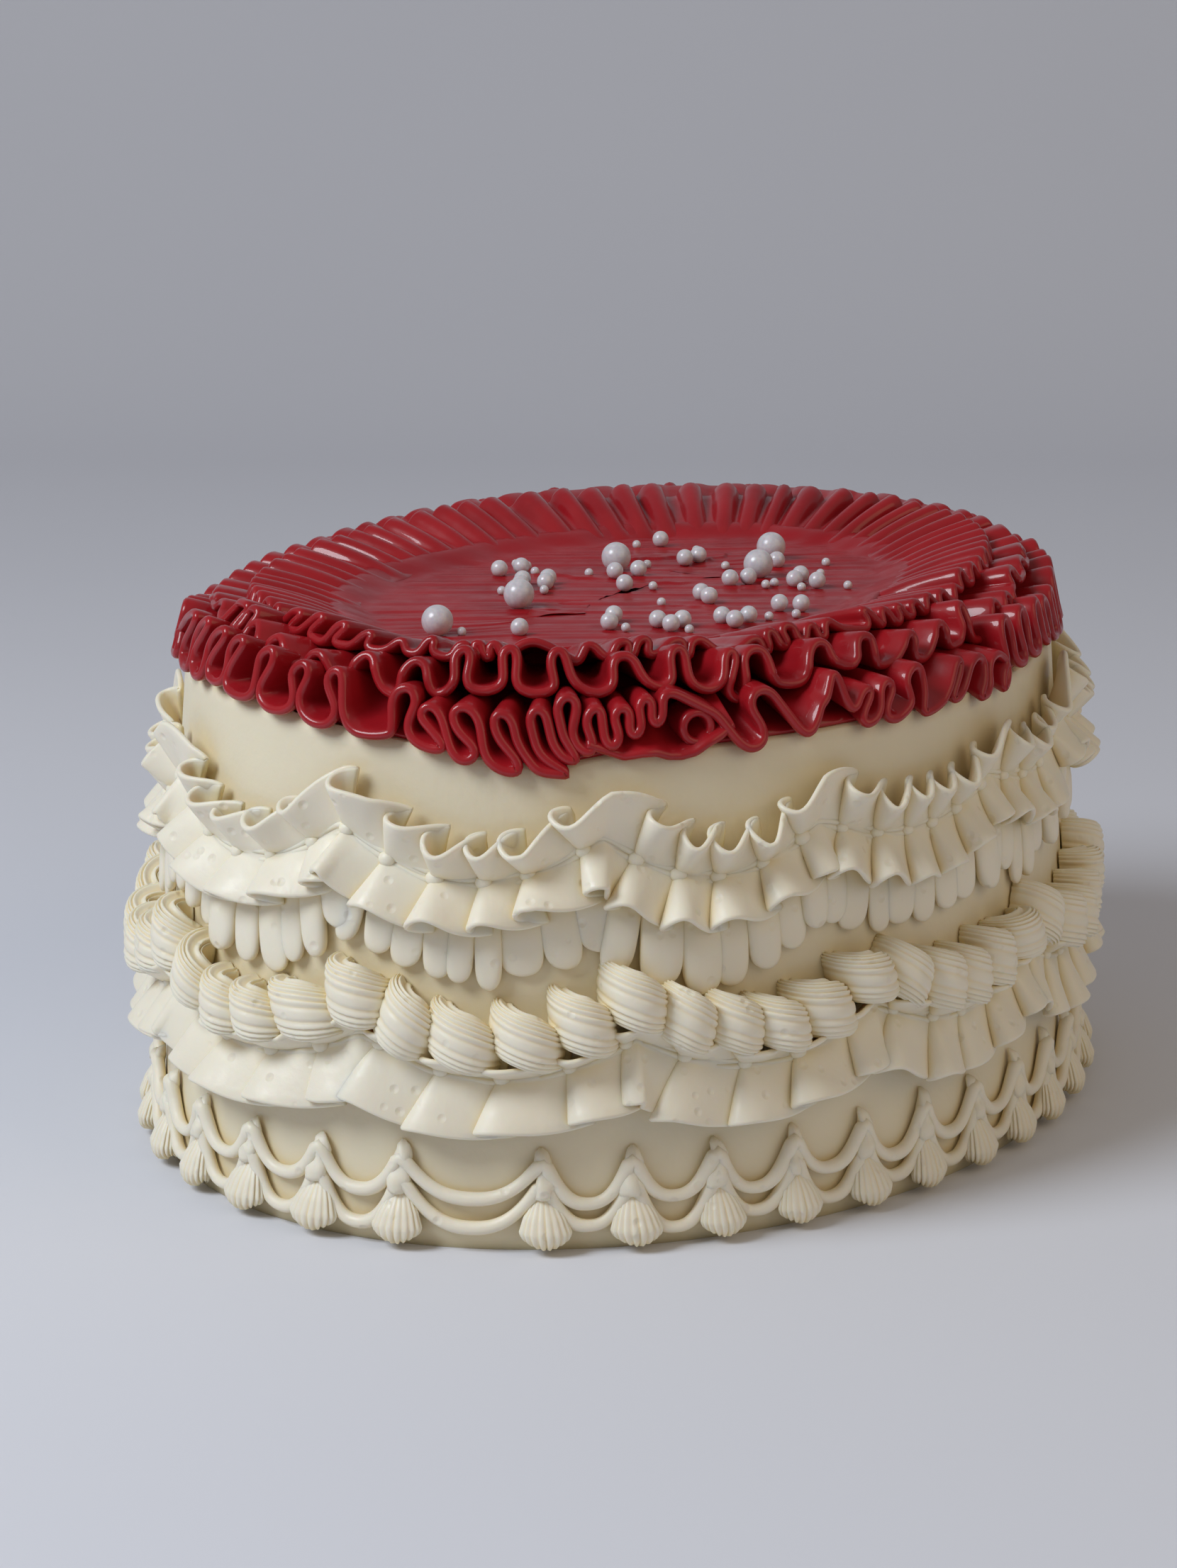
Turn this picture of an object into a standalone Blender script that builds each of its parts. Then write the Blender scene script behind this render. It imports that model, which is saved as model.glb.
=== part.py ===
"""An oval cream cake: a smooth body, three red frills round a red top with sugar
pearls, and piped ruffles, shells and strings round the side."""

import bisect
import itertools
import math
import random
from collections import namedtuple

import bmesh
import bpy
import numpy as np
from mathutils import Vector

MM = 0.001

# Smooth body: its oval at one height, and how far the side leans out for each step down
LENGTH = 232 * MM
WIDTH = 185 * MM
MEASURED_AT = 85 * MM
SIDE_LEAN = 0.077
MIDDLE_TOP = 116.4 * MM
GAP = 0.3 * MM
BODY_SEGMENTS = 52

# Hem, outer fold tops and crest of the red frills: angle round the oval in degrees and height in mm
HEM = ((0, 107.5), (150, 111), (172, 111), (190, 108), (200, 105.5), (213, 101), (222, 104), (262, 105.3),
       (300, 106.5), (360, 107.5))
OUTER_TOP = ((0, 125.5), (20, 126), (60, 126), (75, 123.5), (92, 121.5), (105, 119), (122, 119), (140, 123.5),
             (160, 124.5), (172, 124.5), (190, 122.5), (200, 120), (212, 115.8), (222, 117.5), (236, 118.5),
             (262, 119.8), (300, 122.5), (330, 123.8), (360, 125.5))
CREST = ((0, 128.3), (70, 128.3), (95, 126), (130, 126), (150, 128), (360, 128.3))
CREST_STEP = 2.0 * MM

# Red frills: ribbons folded to and fro, gathered at a straight inner root
MIDDLE_RISE = 8.6 * MM
OUTER_ROOT = (17.8 * MM, 113.6 * MM)
MIDDLE_ROOT = (27.5 * MM, 116.9 * MM)
INNER_ROOT = (37.5 * MM, 117.5 * MM)
OUTER_EDGE = (-2.5 * MM, 0 * MM)
MIDDLE_EDGE = (4.5 * MM, 7.5 * MM)
INNER_EDGE = (13 * MM, 15 * MM)
ROOT_MARGIN = 0.6 * MM
TIER_GAP = 0.5 * MM
RIBBON = 2.1 * MM
FOLD_SPREAD = 0.22

# Red top inside the frills
POOL_INSET = 38 * MM
POOL_TOP = 118.4 * MM
POOL_RIM = (1.2 * MM, 0.6 * MM)
POOL_STEPS = (12 * MM, 26 * MM)
POOL_SEGMENTS = 32
STREAK = 0.35 * MM
STREAK_PITCH = 19 * MM
STREAK_TURN = math.radians(-49)

# Sugar pearls: big ones by place, the others in clusters of two sizes
BIG_PEARL = 3.5 * MM
MEDIUM_PEARL = 2.0 * MM
SMALL_PEARL = 1.05 * MM
PEARL_SINK = 0.7 * MM
PEARL_SIDES = {BIG_PEARL: (8, 6), MEDIUM_PEARL: (5, 4)}
PEARL_MARGIN = 3 * MM
BIG_PLACES = ((18, 17), (51, -5), (31, -15), (-31, 8), (-65, 4))
CLUSTERS = ((-1, 34, 2), (-12, 20, 4), (11, 10, 2), (-2, 1, 1), (36, 9, 2), (48, 23, 1), (21, -20, 2),
            (27, -30, 3), (44, -13, 1), (-1, -21, 2), (2, -44, 2), (-19, -44, 3), (-29, -33, 3), (-36, -19, 2),
            (-52, -4, 1))
CLUSTER_SPREAD = 5.0 * MM
SCATTER_SPREAD = 11.0 * MM
SMALL_PEARLS = 24

# Upper ruffle, with a row of flat petals hanging below it. It hangs between high points: their
# distance round the oval, their height, and the lowest height of the swag that follows, in mm
UPPER_POINTS = ((56, 92, 82.5), (114, 91, 81.5), (172, 90, 80), (230, 88, 79), (285, 90, 78.5),
                (341, 89, 79), (395, 88, 78.5), (443, 87, 81.2), (497, 88, 84.2), (540, 95, 84.5),
                (598, 94, 84), (655, 93, 83.5))
UPPER_HALF = 9.6 * MM
UPPER_PLEAT_OUT = 12.0 * MM
PETAL_TOP = 11.3 * MM
PETAL_LENGTH = 10.4 * MM
PETAL_NOTCH = 4.5 * MM
PETAL_THICK = 3.2 * MM
PETAL_SEAM = 0.4
PETAL_BULGE = 0.75
PETALS = 72
PETAL_STATIONS = (0.0, 0.5)

# Shell garland in even swags, with a ruffle hanging below it
SHELL_SWAGS = 12
SHELL_SHIFT = 17.8 * MM
SHELL_HIGH = 54.5 * MM
SHELL_LOW = 46.5 * MM
SHELL_HALF = 6.8 * MM
SHELL_PROUD = 11.5 * MM
SHELL_SWELL = {0.0: 0.45, 0.3: 0.95, 0.72: 1.0}
SHELL_FLAT = 0.45
SHELL_NARROW = 0.6
SHELLS = 56
LOWER_RUFFLE_TOP = 8.0 * MM
LOWER_RUFFLE_DROP = 10.8 * MM

# Ruffle folds
UPPER_PLEATS = 56
LOWER_PLEATS = 48
PLEAT_STATIONS = (0.0, 0.3, 0.7)
LOWER_PLEAT_OUT = 7.5 * MM
PLEAT_IN = 4.0 * MM
CREASE_OUT = 3.4 * MM
PLEAT_DROP = 1.5 * MM

# Strings near the base, with a shell under each of their high points; the last scallop is wider
SCALLOPS = 37
STRING_START = 382.7 * MM
WIDE_SCALLOP = 1.6
SCALLOP_STATIONS = (0.0, 0.28, 0.72)
STRING = 3.0 * MM
UPPER_STRING = (20.5 * MM, 11.0 * MM)
LOWER_STRING = (16.2 * MM, 5.0 * MM)
BASE_SHELL_OUTLINE = ((1.3, 11.6), (3.4, 7.6), (5.3, 4.2), (3.6, 0.9))
BASE_SHELL_PROUD = ((3.6 * MM, 9.0 * MM), (5.8 * MM, 4.0 * MM))

# Colours, roughness
CREAM = ((0.82, 0.72, 0.50, 1.0), 0.45)
PIPED_CREAM = ((0.86, 0.78, 0.62, 1.0), 0.5)
RED = ((0.33, 0.012, 0.018, 1.0), 0.18)

# Unevenness of hand piping, as shares of a size, and the seeds that it is drawn from
WIDTH_SPREAD = 0.14
SIZE_SPREAD = 0.16
SEEDS = {"pearls": 11, "upper ruffle": 31, "petals": 32, "shells": 33, "lower ruffle": 34}

Frill = namedtuple("Frill", "name edge root low high wave pinch stations seed")


class Oval:
    """The oval plan, walked by the distance along its edge from the +X end."""

    def __init__(self):
        self.half_length = LENGTH / 2
        self.half_width = WIDTH / 2
        self.angles = np.linspace(0, 2 * math.pi, 721)
        steps = np.hypot(
            np.diff(self.half_length * np.cos(self.angles)),
            np.diff(self.half_width * np.sin(self.angles)),
        )
        self.arcs = np.concatenate(([0], np.cumsum(steps)))
        self.length = float(self.arcs[-1])

    def angle(self, arc):
        return float(np.interp(arc % self.length, self.arcs, self.angles))

    def at_angle(self, angle, out, height):
        """A point at a distance out from the leaning side."""
        normal = Vector((self.half_width * math.cos(angle), self.half_length * math.sin(angle), 0)).normalized()
        edge = Vector((self.half_length * math.cos(angle), self.half_width * math.sin(angle), height))
        return edge + normal * (out + SIDE_LEAN * (MEASURED_AT - height))

    def at(self, arc, out, height):
        return self.at_angle(self.angle(arc), out, height)


PLAN = Oval()


def clear_scene():
    for thing in list(bpy.data.objects):
        bpy.data.objects.remove(thing, do_unlink=True)


def make_material(name, look):
    colour, roughness = look
    material = bpy.data.materials.new(name)
    material.use_nodes = True
    shader = material.node_tree.nodes["Principled BSDF"]
    shader.inputs["Base Color"].default_value = colour
    shader.inputs["Roughness"].default_value = roughness
    shader.inputs["Metallic"].default_value = 0.0
    return material


def make_object(name, points, faces, look):
    """A closed triangulated solid whose faces point out."""
    mesh = bpy.data.meshes.new(name)
    mesh.from_pydata([tuple(point) for point in points], [], faces)
    shape = bmesh.new()
    shape.from_mesh(mesh)
    bmesh.ops.triangulate(shape, faces=shape.faces)
    bmesh.ops.recalc_face_normals(shape, faces=shape.faces)
    shape.to_mesh(mesh)
    shape.free()
    mesh.shade_smooth()
    mesh.set_sharp_from_angle(angle=math.radians(50))
    mesh.materials.append(make_material(name, look))
    thing = bpy.data.objects.new(name, mesh)
    bpy.context.collection.objects.link(thing)
    return thing


def ring_solid(name, sections, look):
    """A closed tube through sections that all have the same number of points."""
    size = len(sections[0])
    points = [point for section in sections for point in section]
    faces = []
    for i in range(len(sections)):
        j = (i + 1) % len(sections)
        for k in range(size):
            m = (k + 1) % size
            faces.append((i * size + k, j * size + k, j * size + m, i * size + m))
    return make_object(name, points, faces, look)


def stack_solid(name, rings, look):
    """A solid of ovals stacked from the bottom to the top, with flat ends."""
    size = len(rings[0])
    points = [point for ring in rings for point in ring]
    faces = [tuple(range(size)), tuple(range(len(points) - size, len(points)))]
    for level in range(len(rings) - 1):
        for k in range(size):
            m = (k + 1) % size
            start = level * size
            faces.append((start + k, start + m, start + size + m, start + size + k))
    return make_object(name, points, faces, look)


def mix(start, end, share):
    return start + (end - start) * share


def height_at(table, angle):
    """Height from one of the tables at the top, at an angle round the oval."""
    degrees, heights = zip(*table)
    return float(np.interp(math.degrees(angle) % 360, degrees, heights)) * MM


def hem(angle):
    return height_at(HEM, angle)


def slope_height(edge, root, edge_height, inset):
    """Height on the straight slope from a frill's edge in to its root."""
    return mix(edge_height, root[1], (inset - edge) / (root[0] - edge))


def outer_high(angle):
    return height_at(OUTER_TOP, angle)


def middle_low(angle):
    return slope_height(OUTER_EDGE[1], OUTER_ROOT, outer_high(angle), MIDDLE_EDGE[0]) + TIER_GAP


def middle_high(angle):
    return min(middle_low(angle) + MIDDLE_RISE, height_at(CREST, angle) - CREST_STEP)


def inner_low(angle):
    return slope_height(MIDDLE_EDGE[1], MIDDLE_ROOT, middle_high(angle), INNER_EDGE[0]) + TIER_GAP


def inner_high(angle):
    return height_at(CREST, angle)


FRILLS = (
    Frill("frill_outer", OUTER_EDGE, OUTER_ROOT, hem, outer_high, 13.5 * MM, 0.36, (0.0, 0.28, 0.72), 3),
    Frill("frill_middle", MIDDLE_EDGE, MIDDLE_ROOT, middle_low, middle_high, 15.5 * MM, 0.24, (0.2, 0.8), 5),
    Frill("frill_inner", INNER_EDGE, INNER_ROOT, inner_low, inner_high, 11.8 * MM, 0.1, (0.2, 0.8), 8),
)


def uneven_steps(total, pitch, spread, draw):
    """Positions of an even number of folds round a loop, unevenly spaced."""
    count = 2 * round(total / pitch)
    widths = [draw.uniform(1 - spread, 1 + spread) for _ in range(count)]
    scale = total / sum(widths)
    places = [0.0]
    for width in widths:
        places.append(places[-1] + width * scale)
    return places


def fold_path(places, stations, pinch):
    """Points of a line folded up and down, as distance along, root distance,
    height from 0 to 1, and the line's normal."""
    path = []
    for i in range(len(places) - 1):
        width = places[i + 1] - places[i]
        up = i % 2 == 0
        for t in stations:
            along = places[i] + width * (t + pinch * math.sin(2 * math.pi * t))
            share = (1 - math.cos(math.pi * t)) / 2
            run = width * (1 + 2 * math.pi * pinch * math.cos(2 * math.pi * t))
            rise = math.pi / 2 * math.sin(math.pi * t) * (1 if up else -1)
            path.append((along, places[i] + width * t, share if up else 1 - share, run, rise))
    return path


def frill_section(frill, oval, along, root_along, share, run, rise):
    """Top and bottom of the ribbon's free edge, and its root."""
    angle = oval.angle(along)
    low = frill.low(angle) + RIBBON / 2
    high = frill.high(angle) - RIBBON / 2
    length = math.hypot(run, rise * (high - low))
    side = -rise * (high - low) / length * RIBBON / 2
    lift = run / length * RIBBON / 2
    inset = mix(frill.edge[0], frill.edge[1], share)
    height = mix(low, high, share)
    top = oval.at(along + side, -inset, height + lift)
    bottom = oval.at(along - side, -inset, height - lift)
    root = oval.at(root_along, -frill.root[0], frill.root[1])
    return (top, bottom, root)


def ribbon_faces(count):
    """Triangles of a ring of three-cornered sections, cut the same way on both sides of the
    ribbon, so that it stays clear of itself where it is thin."""
    faces = []
    for i in range(count):
        start, following = 3 * i, 3 * ((i + 1) % count)
        for low, high in ((0, 1), (1, 2), (0, 2)):
            faces.append((start + low, following + low, following + high))
            faces.append((start + low, following + high, start + high))
    return faces


def make_frill(frill):
    draw = random.Random(frill.seed)
    places = uneven_steps(PLAN.length, frill.wave, FOLD_SPREAD, draw)
    path = fold_path(places, frill.stations, frill.pinch)
    sections = [frill_section(frill, PLAN, *step) for step in path]
    points = [point for section in sections for point in section]
    return make_object(frill.name, points, ribbon_faces(len(sections)), RED)


def shoulder_height(angle, inset):
    """Body height under the outer frill, just below its lowest folds."""
    return slope_height(OUTER_EDGE[0], OUTER_ROOT, hem(angle), inset) - 2 * GAP


def make_body():
    """The smooth cake, rounded off under the frills, raised under the red top."""
    turn = 2 * math.pi / BODY_SEGMENTS
    angles = [turn * i for i in range(BODY_SEGMENTS)]
    rings = [[PLAN.at_angle(angle, 0, 0) for angle in angles]]
    for inset in (0.0, OUTER_ROOT[0] / 2, OUTER_ROOT[0]):
        rings.append([PLAN.at_angle(angle, -inset, shoulder_height(angle, inset)) for angle in angles])
    for inset in (MIDDLE_ROOT[0] + ROOT_MARGIN, INNER_ROOT[0]):
        rings.append([PLAN.at_angle(angle, -inset, MIDDLE_TOP) for angle in angles])
    return stack_solid("cake_body", rings, CREAM)


def pool_ring(inset, height):
    """An oval ring of the red top with faint waves from the palette knife."""
    ring = []
    for i in range(POOL_SEGMENTS):
        point = PLAN.at_angle(2 * math.pi * i / POOL_SEGMENTS, -inset, height)
        across = point.y * math.cos(STREAK_TURN) - point.x * math.sin(STREAK_TURN)
        wave = STREAK * math.sin(2 * math.pi * across / STREAK_PITCH)
        ring.append(point + Vector((0, 0, wave * (inset / POOL_INSET - 1))))
    return ring


def pearl_places():
    """Centres and radii of the pearls, the largest first."""
    draw = random.Random(SEEDS["pearls"])
    pearls = [(x * MM, y * MM, BIG_PEARL) for x, y in BIG_PLACES]
    for x, y, count in CLUSTERS:
        for _ in range(count):
            pearls.append(free_place(draw, x * MM, y * MM, CLUSTER_SPREAD, MEDIUM_PEARL, pearls))
    for i in range(SMALL_PEARLS):
        x, y, _ = CLUSTERS[i % len(CLUSTERS)]
        pearls.append(free_place(draw, x * MM, y * MM, SCATTER_SPREAD, SMALL_PEARL, pearls))
    return pearls


def free_place(draw, x, y, spread, radius, taken):
    """A random place near a cluster's middle, clear of the pearls so far."""
    while True:
        place = (x + draw.gauss(0, spread / 2), y + draw.gauss(0, spread / 2))
        clear = all(math.hypot(place[0] - p[0], place[1] - p[1]) > radius + p[2] + GAP for p in taken)
        limit = POOL_INSET + radius + PEARL_MARGIN - SIDE_LEAN * (MEASURED_AT - POOL_TOP)
        inside = math.hypot(place[0] / (LENGTH / 2 - limit), place[1] / (WIDTH / 2 - limit)) < 1
        if clear and inside:
            return (place[0], place[1], radius)


def make_pearl(x, y, radius, group):
    mesh = bpy.data.meshes.new("pearl")
    shape = bmesh.new()
    if radius == SMALL_PEARL:
        bmesh.ops.create_icosphere(shape, subdivisions=1, radius=radius)
    else:
        around, levels = PEARL_SIDES[radius]
        bmesh.ops.create_uvsphere(shape, u_segments=around, v_segments=levels, radius=radius)
    shape.to_mesh(mesh)
    shape.free()
    pearl = bpy.data.objects.new("pearl", mesh)
    pearl.location = (x, y, POOL_TOP + radius - PEARL_SINK)
    group.objects.link(pearl)


def make_red_top():
    """The red layer inside the frills, with the pearls fused to it."""
    rings = [pool_ring(POOL_INSET, MIDDLE_TOP + GAP), pool_ring(POOL_INSET, POOL_TOP - POOL_RIM[1])]
    rings += [pool_ring(POOL_INSET + step, POOL_TOP) for step in (POOL_RIM[0], *POOL_STEPS)]
    top = stack_solid("red_top", rings, RED)
    group = bpy.data.collections.new("pearls")
    bpy.context.scene.collection.children.link(group)
    for x, y, radius in pearl_places():
        make_pearl(x, y, radius, group)
    union = top.modifiers.new("pearls", "BOOLEAN")
    union.operation = "UNION"
    union.operand_type = "COLLECTION"
    union.collection = group
    union.solver = "EXACT"
    fused = bpy.data.meshes.new_from_object(top.evaluated_get(bpy.context.evaluated_depsgraph_get()))
    top.modifiers.clear()
    top.data = fused
    for pearl in list(group.objects):
        bpy.data.objects.remove(pearl, do_unlink=True)
    bpy.data.collections.remove(group)
    return top


def swag(arc, points):
    """Height of a line that hangs between high points, sharp at them and round below."""
    starts = [at for at, _, _ in points]
    number = bisect.bisect_right(starts, arc % PLAN.length) - 1
    following = (number + 1) % len(points)
    width = (starts[following] - starts[number]) % PLAN.length
    share = 2 * ((arc - starts[number]) % PLAN.length) / width - 1
    high = points[number if share < 0 else following][1]
    return mix(points[number][2], high, share ** 2)


def upper_line(arc):
    return swag(arc, [(at * MM, high * MM, low * MM) for at, high, low in UPPER_POINTS])


def shell_line(arc):
    step = PLAN.length / SHELL_SWAGS
    return swag(arc, [(SHELL_SHIFT + k * step, SHELL_HIGH, SHELL_LOW) for k in range(SHELL_SWAGS)])


def repeat_arcs(count, stations, seed):
    """Distances round the cake for the stations of each repeat, which differ a
    little in width, with a size for each repeat just under 1."""
    draw = random.Random(seed)
    widths = [draw.uniform(1 - WIDTH_SPREAD, 1 + WIDTH_SPREAD) for _ in range(count)]
    scale = PLAN.length / sum(widths)
    arcs = []
    start = 0.0
    for width in widths:
        size = draw.uniform(1 - SIZE_SPREAD, 1)
        arcs += [(start + t * width * scale, t, size) for t in stations]
        start += width * scale
    return arcs


def make_upper_ruffle():
    """A pleated band, pinched along its middle and flared to both edges."""
    sections = []
    for arc, t, size in repeat_arcs(UPPER_PLEATS, PLEAT_STATIONS, SEEDS["upper ruffle"]):
        line = upper_line(arc)
        out = PLEAT_IN if t == 0.0 else UPPER_PLEAT_OUT * size
        sections.append((
            PLAN.at(arc, GAP, line + UPPER_HALF - PLEAT_DROP),
            PLAN.at(arc, out, line + UPPER_HALF),
            PLAN.at(arc, CREASE_OUT, line),
            PLAN.at(arc, out, line - UPPER_HALF),
            PLAN.at(arc, GAP, line - UPPER_HALF + PLEAT_DROP),
        ))
    return ring_solid("upper_ruffle", sections, PIPED_CREAM)


def make_petals():
    """A row of flat fingers whose tops tuck under the upper ruffle."""
    sections = []
    for arc, t, size in repeat_arcs(PETALS, PETAL_STATIONS, SEEDS["petals"]):
        top = upper_line(arc) - PETAL_TOP
        length = PETAL_NOTCH if t == 0.0 else PETAL_LENGTH * size
        thick = PETAL_THICK * (PETAL_SEAM if t == 0.0 else 1)
        sections.append((
            PLAN.at(arc, GAP, top),
            PLAN.at(arc, GAP + thick, top - length * PETAL_BULGE),
            PLAN.at(arc, GAP, top - length),
        ))
    return ring_solid("petal_row", sections, PIPED_CREAM)


def make_shell_garland():
    """Ridged shells, each swelling from the tail of the one before."""
    sections = []
    for arc, t, size in repeat_arcs(SHELLS, SHELL_SWELL, SEEDS["shells"]):
        swell = SHELL_SWELL[t] * size
        half = SHELL_HALF * mix(SHELL_NARROW, 1.0, swell)
        out = GAP + SHELL_PROUD * swell
        line = shell_line(arc)
        sections.append((
            PLAN.at(arc, GAP, line + half),
            PLAN.at(arc, out, line + half * SHELL_FLAT),
            PLAN.at(arc, out, line - half * SHELL_FLAT),
            PLAN.at(arc, GAP, line - half),
        ))
    return ring_solid("shell_garland", sections, PIPED_CREAM)


def make_lower_ruffle():
    """A pleated frill that hangs below the shells and flares at its hem."""
    sections = []
    for arc, t, size in repeat_arcs(LOWER_PLEATS, PLEAT_STATIONS, SEEDS["lower ruffle"]):
        top = shell_line(arc) - LOWER_RUFFLE_TOP
        drop = LOWER_RUFFLE_DROP if t == 0.0 else LOWER_RUFFLE_DROP + PLEAT_DROP * size
        out = PLEAT_IN if t == 0.0 else LOWER_PLEAT_OUT * size
        sections.append((
            PLAN.at(arc, GAP, top),
            PLAN.at(arc, out, top - drop),
            PLAN.at(arc, GAP, top - drop + PLEAT_DROP),
        ))
    return ring_solid("lower_ruffle", sections, PIPED_CREAM)


def scallop(number):
    """Where a scallop of the strings starts, and its width."""
    step = PLAN.length / (SCALLOPS - 1 + WIDE_SCALLOP)
    width = step * WIDE_SCALLOP if number == SCALLOPS - 1 else step
    return STRING_START + step * number, width


def make_string(name, heights):
    """A piped string that hangs in scallops on the side."""
    high, low = heights
    sections = []
    for number, t in itertools.product(range(SCALLOPS), SCALLOP_STATIONS):
        start, width = scallop(number)
        arc = start + t * width
        line = mix(low, high, (2 * t - 1) ** 2)
        sections.append((
            PLAN.at(arc, GAP, line + STRING / 2),
            PLAN.at(arc, GAP + STRING, line),
            PLAN.at(arc, GAP, line - STRING / 2),
        ))
    return ring_solid(name, sections, PIPED_CREAM)


def make_base_shell(number):
    """A small fan under a high point of the strings, widest near its foot."""
    middle, _ = scallop(number)
    left = [(-across, height) for across, height in BASE_SHELL_OUTLINE]
    outline = list(BASE_SHELL_OUTLINE) + left[::-1]
    points = [PLAN.at(middle + across * MM, GAP, height * MM) for across, height in outline]
    points += [PLAN.at(middle, out, height) for out, height in BASE_SHELL_PROUD]
    upper, lower = len(outline), len(outline) + 1
    faces = [tuple(range(len(outline)))[::-1]]
    fronts = (upper, lower, lower, lower, lower, lower, upper, upper)
    for k, front in enumerate(fronts):
        faces.append((k, (k + 1) % len(outline), front))
    faces.append((1, lower, upper))
    faces.append((6, upper, lower))
    return make_object(f"base_shell_{number + 1:02d}", points, faces, PIPED_CREAM)


def main():
    clear_scene()
    make_body()
    make_red_top()
    for frill in FRILLS:
        make_frill(frill)
    make_upper_ruffle()
    make_petals()
    make_shell_garland()
    make_lower_ruffle()
    make_string("upper_string", UPPER_STRING)
    make_string("lower_string", LOWER_STRING)
    for number in range(SCALLOPS):
        make_base_shell(number)


main()
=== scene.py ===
"""Looks of the oval cream cake: red frills and pearls on top, piped cream round the side.

Every ring of piping is a real ribbon of icing, folded as it was piped."""

import math
import random
from collections import namedtuple

import bmesh
import bpy
import numpy as np
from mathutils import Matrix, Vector


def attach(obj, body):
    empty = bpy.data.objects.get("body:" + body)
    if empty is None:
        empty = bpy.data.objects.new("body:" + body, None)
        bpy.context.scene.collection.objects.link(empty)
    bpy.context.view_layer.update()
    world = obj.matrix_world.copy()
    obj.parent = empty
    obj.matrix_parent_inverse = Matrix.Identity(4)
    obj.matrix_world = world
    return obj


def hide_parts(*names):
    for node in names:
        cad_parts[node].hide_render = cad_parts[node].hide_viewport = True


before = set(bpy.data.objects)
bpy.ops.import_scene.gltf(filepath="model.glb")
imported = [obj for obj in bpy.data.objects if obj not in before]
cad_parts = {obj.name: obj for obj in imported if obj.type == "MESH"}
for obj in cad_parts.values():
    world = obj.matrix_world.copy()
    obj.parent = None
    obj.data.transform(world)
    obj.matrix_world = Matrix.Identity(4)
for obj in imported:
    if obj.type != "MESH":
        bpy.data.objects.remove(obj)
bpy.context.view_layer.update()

MM = 0.001

# Camera and light
CAMERA_PLACE = (-0.6806, -0.5012, 0.2875)
CAMERA_TILT = 75.68
CAMERA_TURN = -53
LENS = 85.4
SENSOR = 36.0
LIT_POINT = (0, 0, 0.07)

# Smooth body, as in the solids
LENGTH = 232 * MM
WIDTH = 185 * MM
MEASURED_AT = 85 * MM
SIDE_LEAN = 0.077
GAP = 0.3 * MM
HEM = ((0, 107.5), (150, 111), (172, 111), (190, 108), (200, 105.5), (213, 101), (222, 104), (262, 105.3),
       (300, 106.5), (360, 107.5))
OUTER_TOP = ((0, 125.5), (20, 126), (60, 126), (75, 123.5), (92, 121.5), (105, 119), (122, 119),
             (140, 123.5), (160, 124.5), (172, 124.5), (190, 122.5), (200, 120), (212, 115.8),
             (222, 117.5), (236, 118.5), (262, 119.8), (300, 122.5), (330, 123.8), (360, 125.5))
CREST = ((0, 128.3), (70, 128.3), (95, 126), (130, 126), (150, 128), (360, 128.3))
CREST_STEP = 2.0 * MM

# Red frills, as in the solids
MIDDLE_RISE = 8.6 * MM
OUTER_ROOT = (17.8 * MM, 113.6 * MM)
MIDDLE_ROOT = (27.5 * MM, 116.9 * MM)
INNER_ROOT = (37.5 * MM, 117.5 * MM)
OUTER_EDGE = (-2.5 * MM, 0 * MM)
MIDDLE_EDGE = (4.5 * MM, 7.5 * MM)
INNER_EDGE = (13 * MM, 15 * MM)
TIER_GAP = 0.5 * MM
INNER_DROP = 2.0 * MM
RIBBON = 2.1 * MM
FOLD_GAP = 2 * MM

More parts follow.
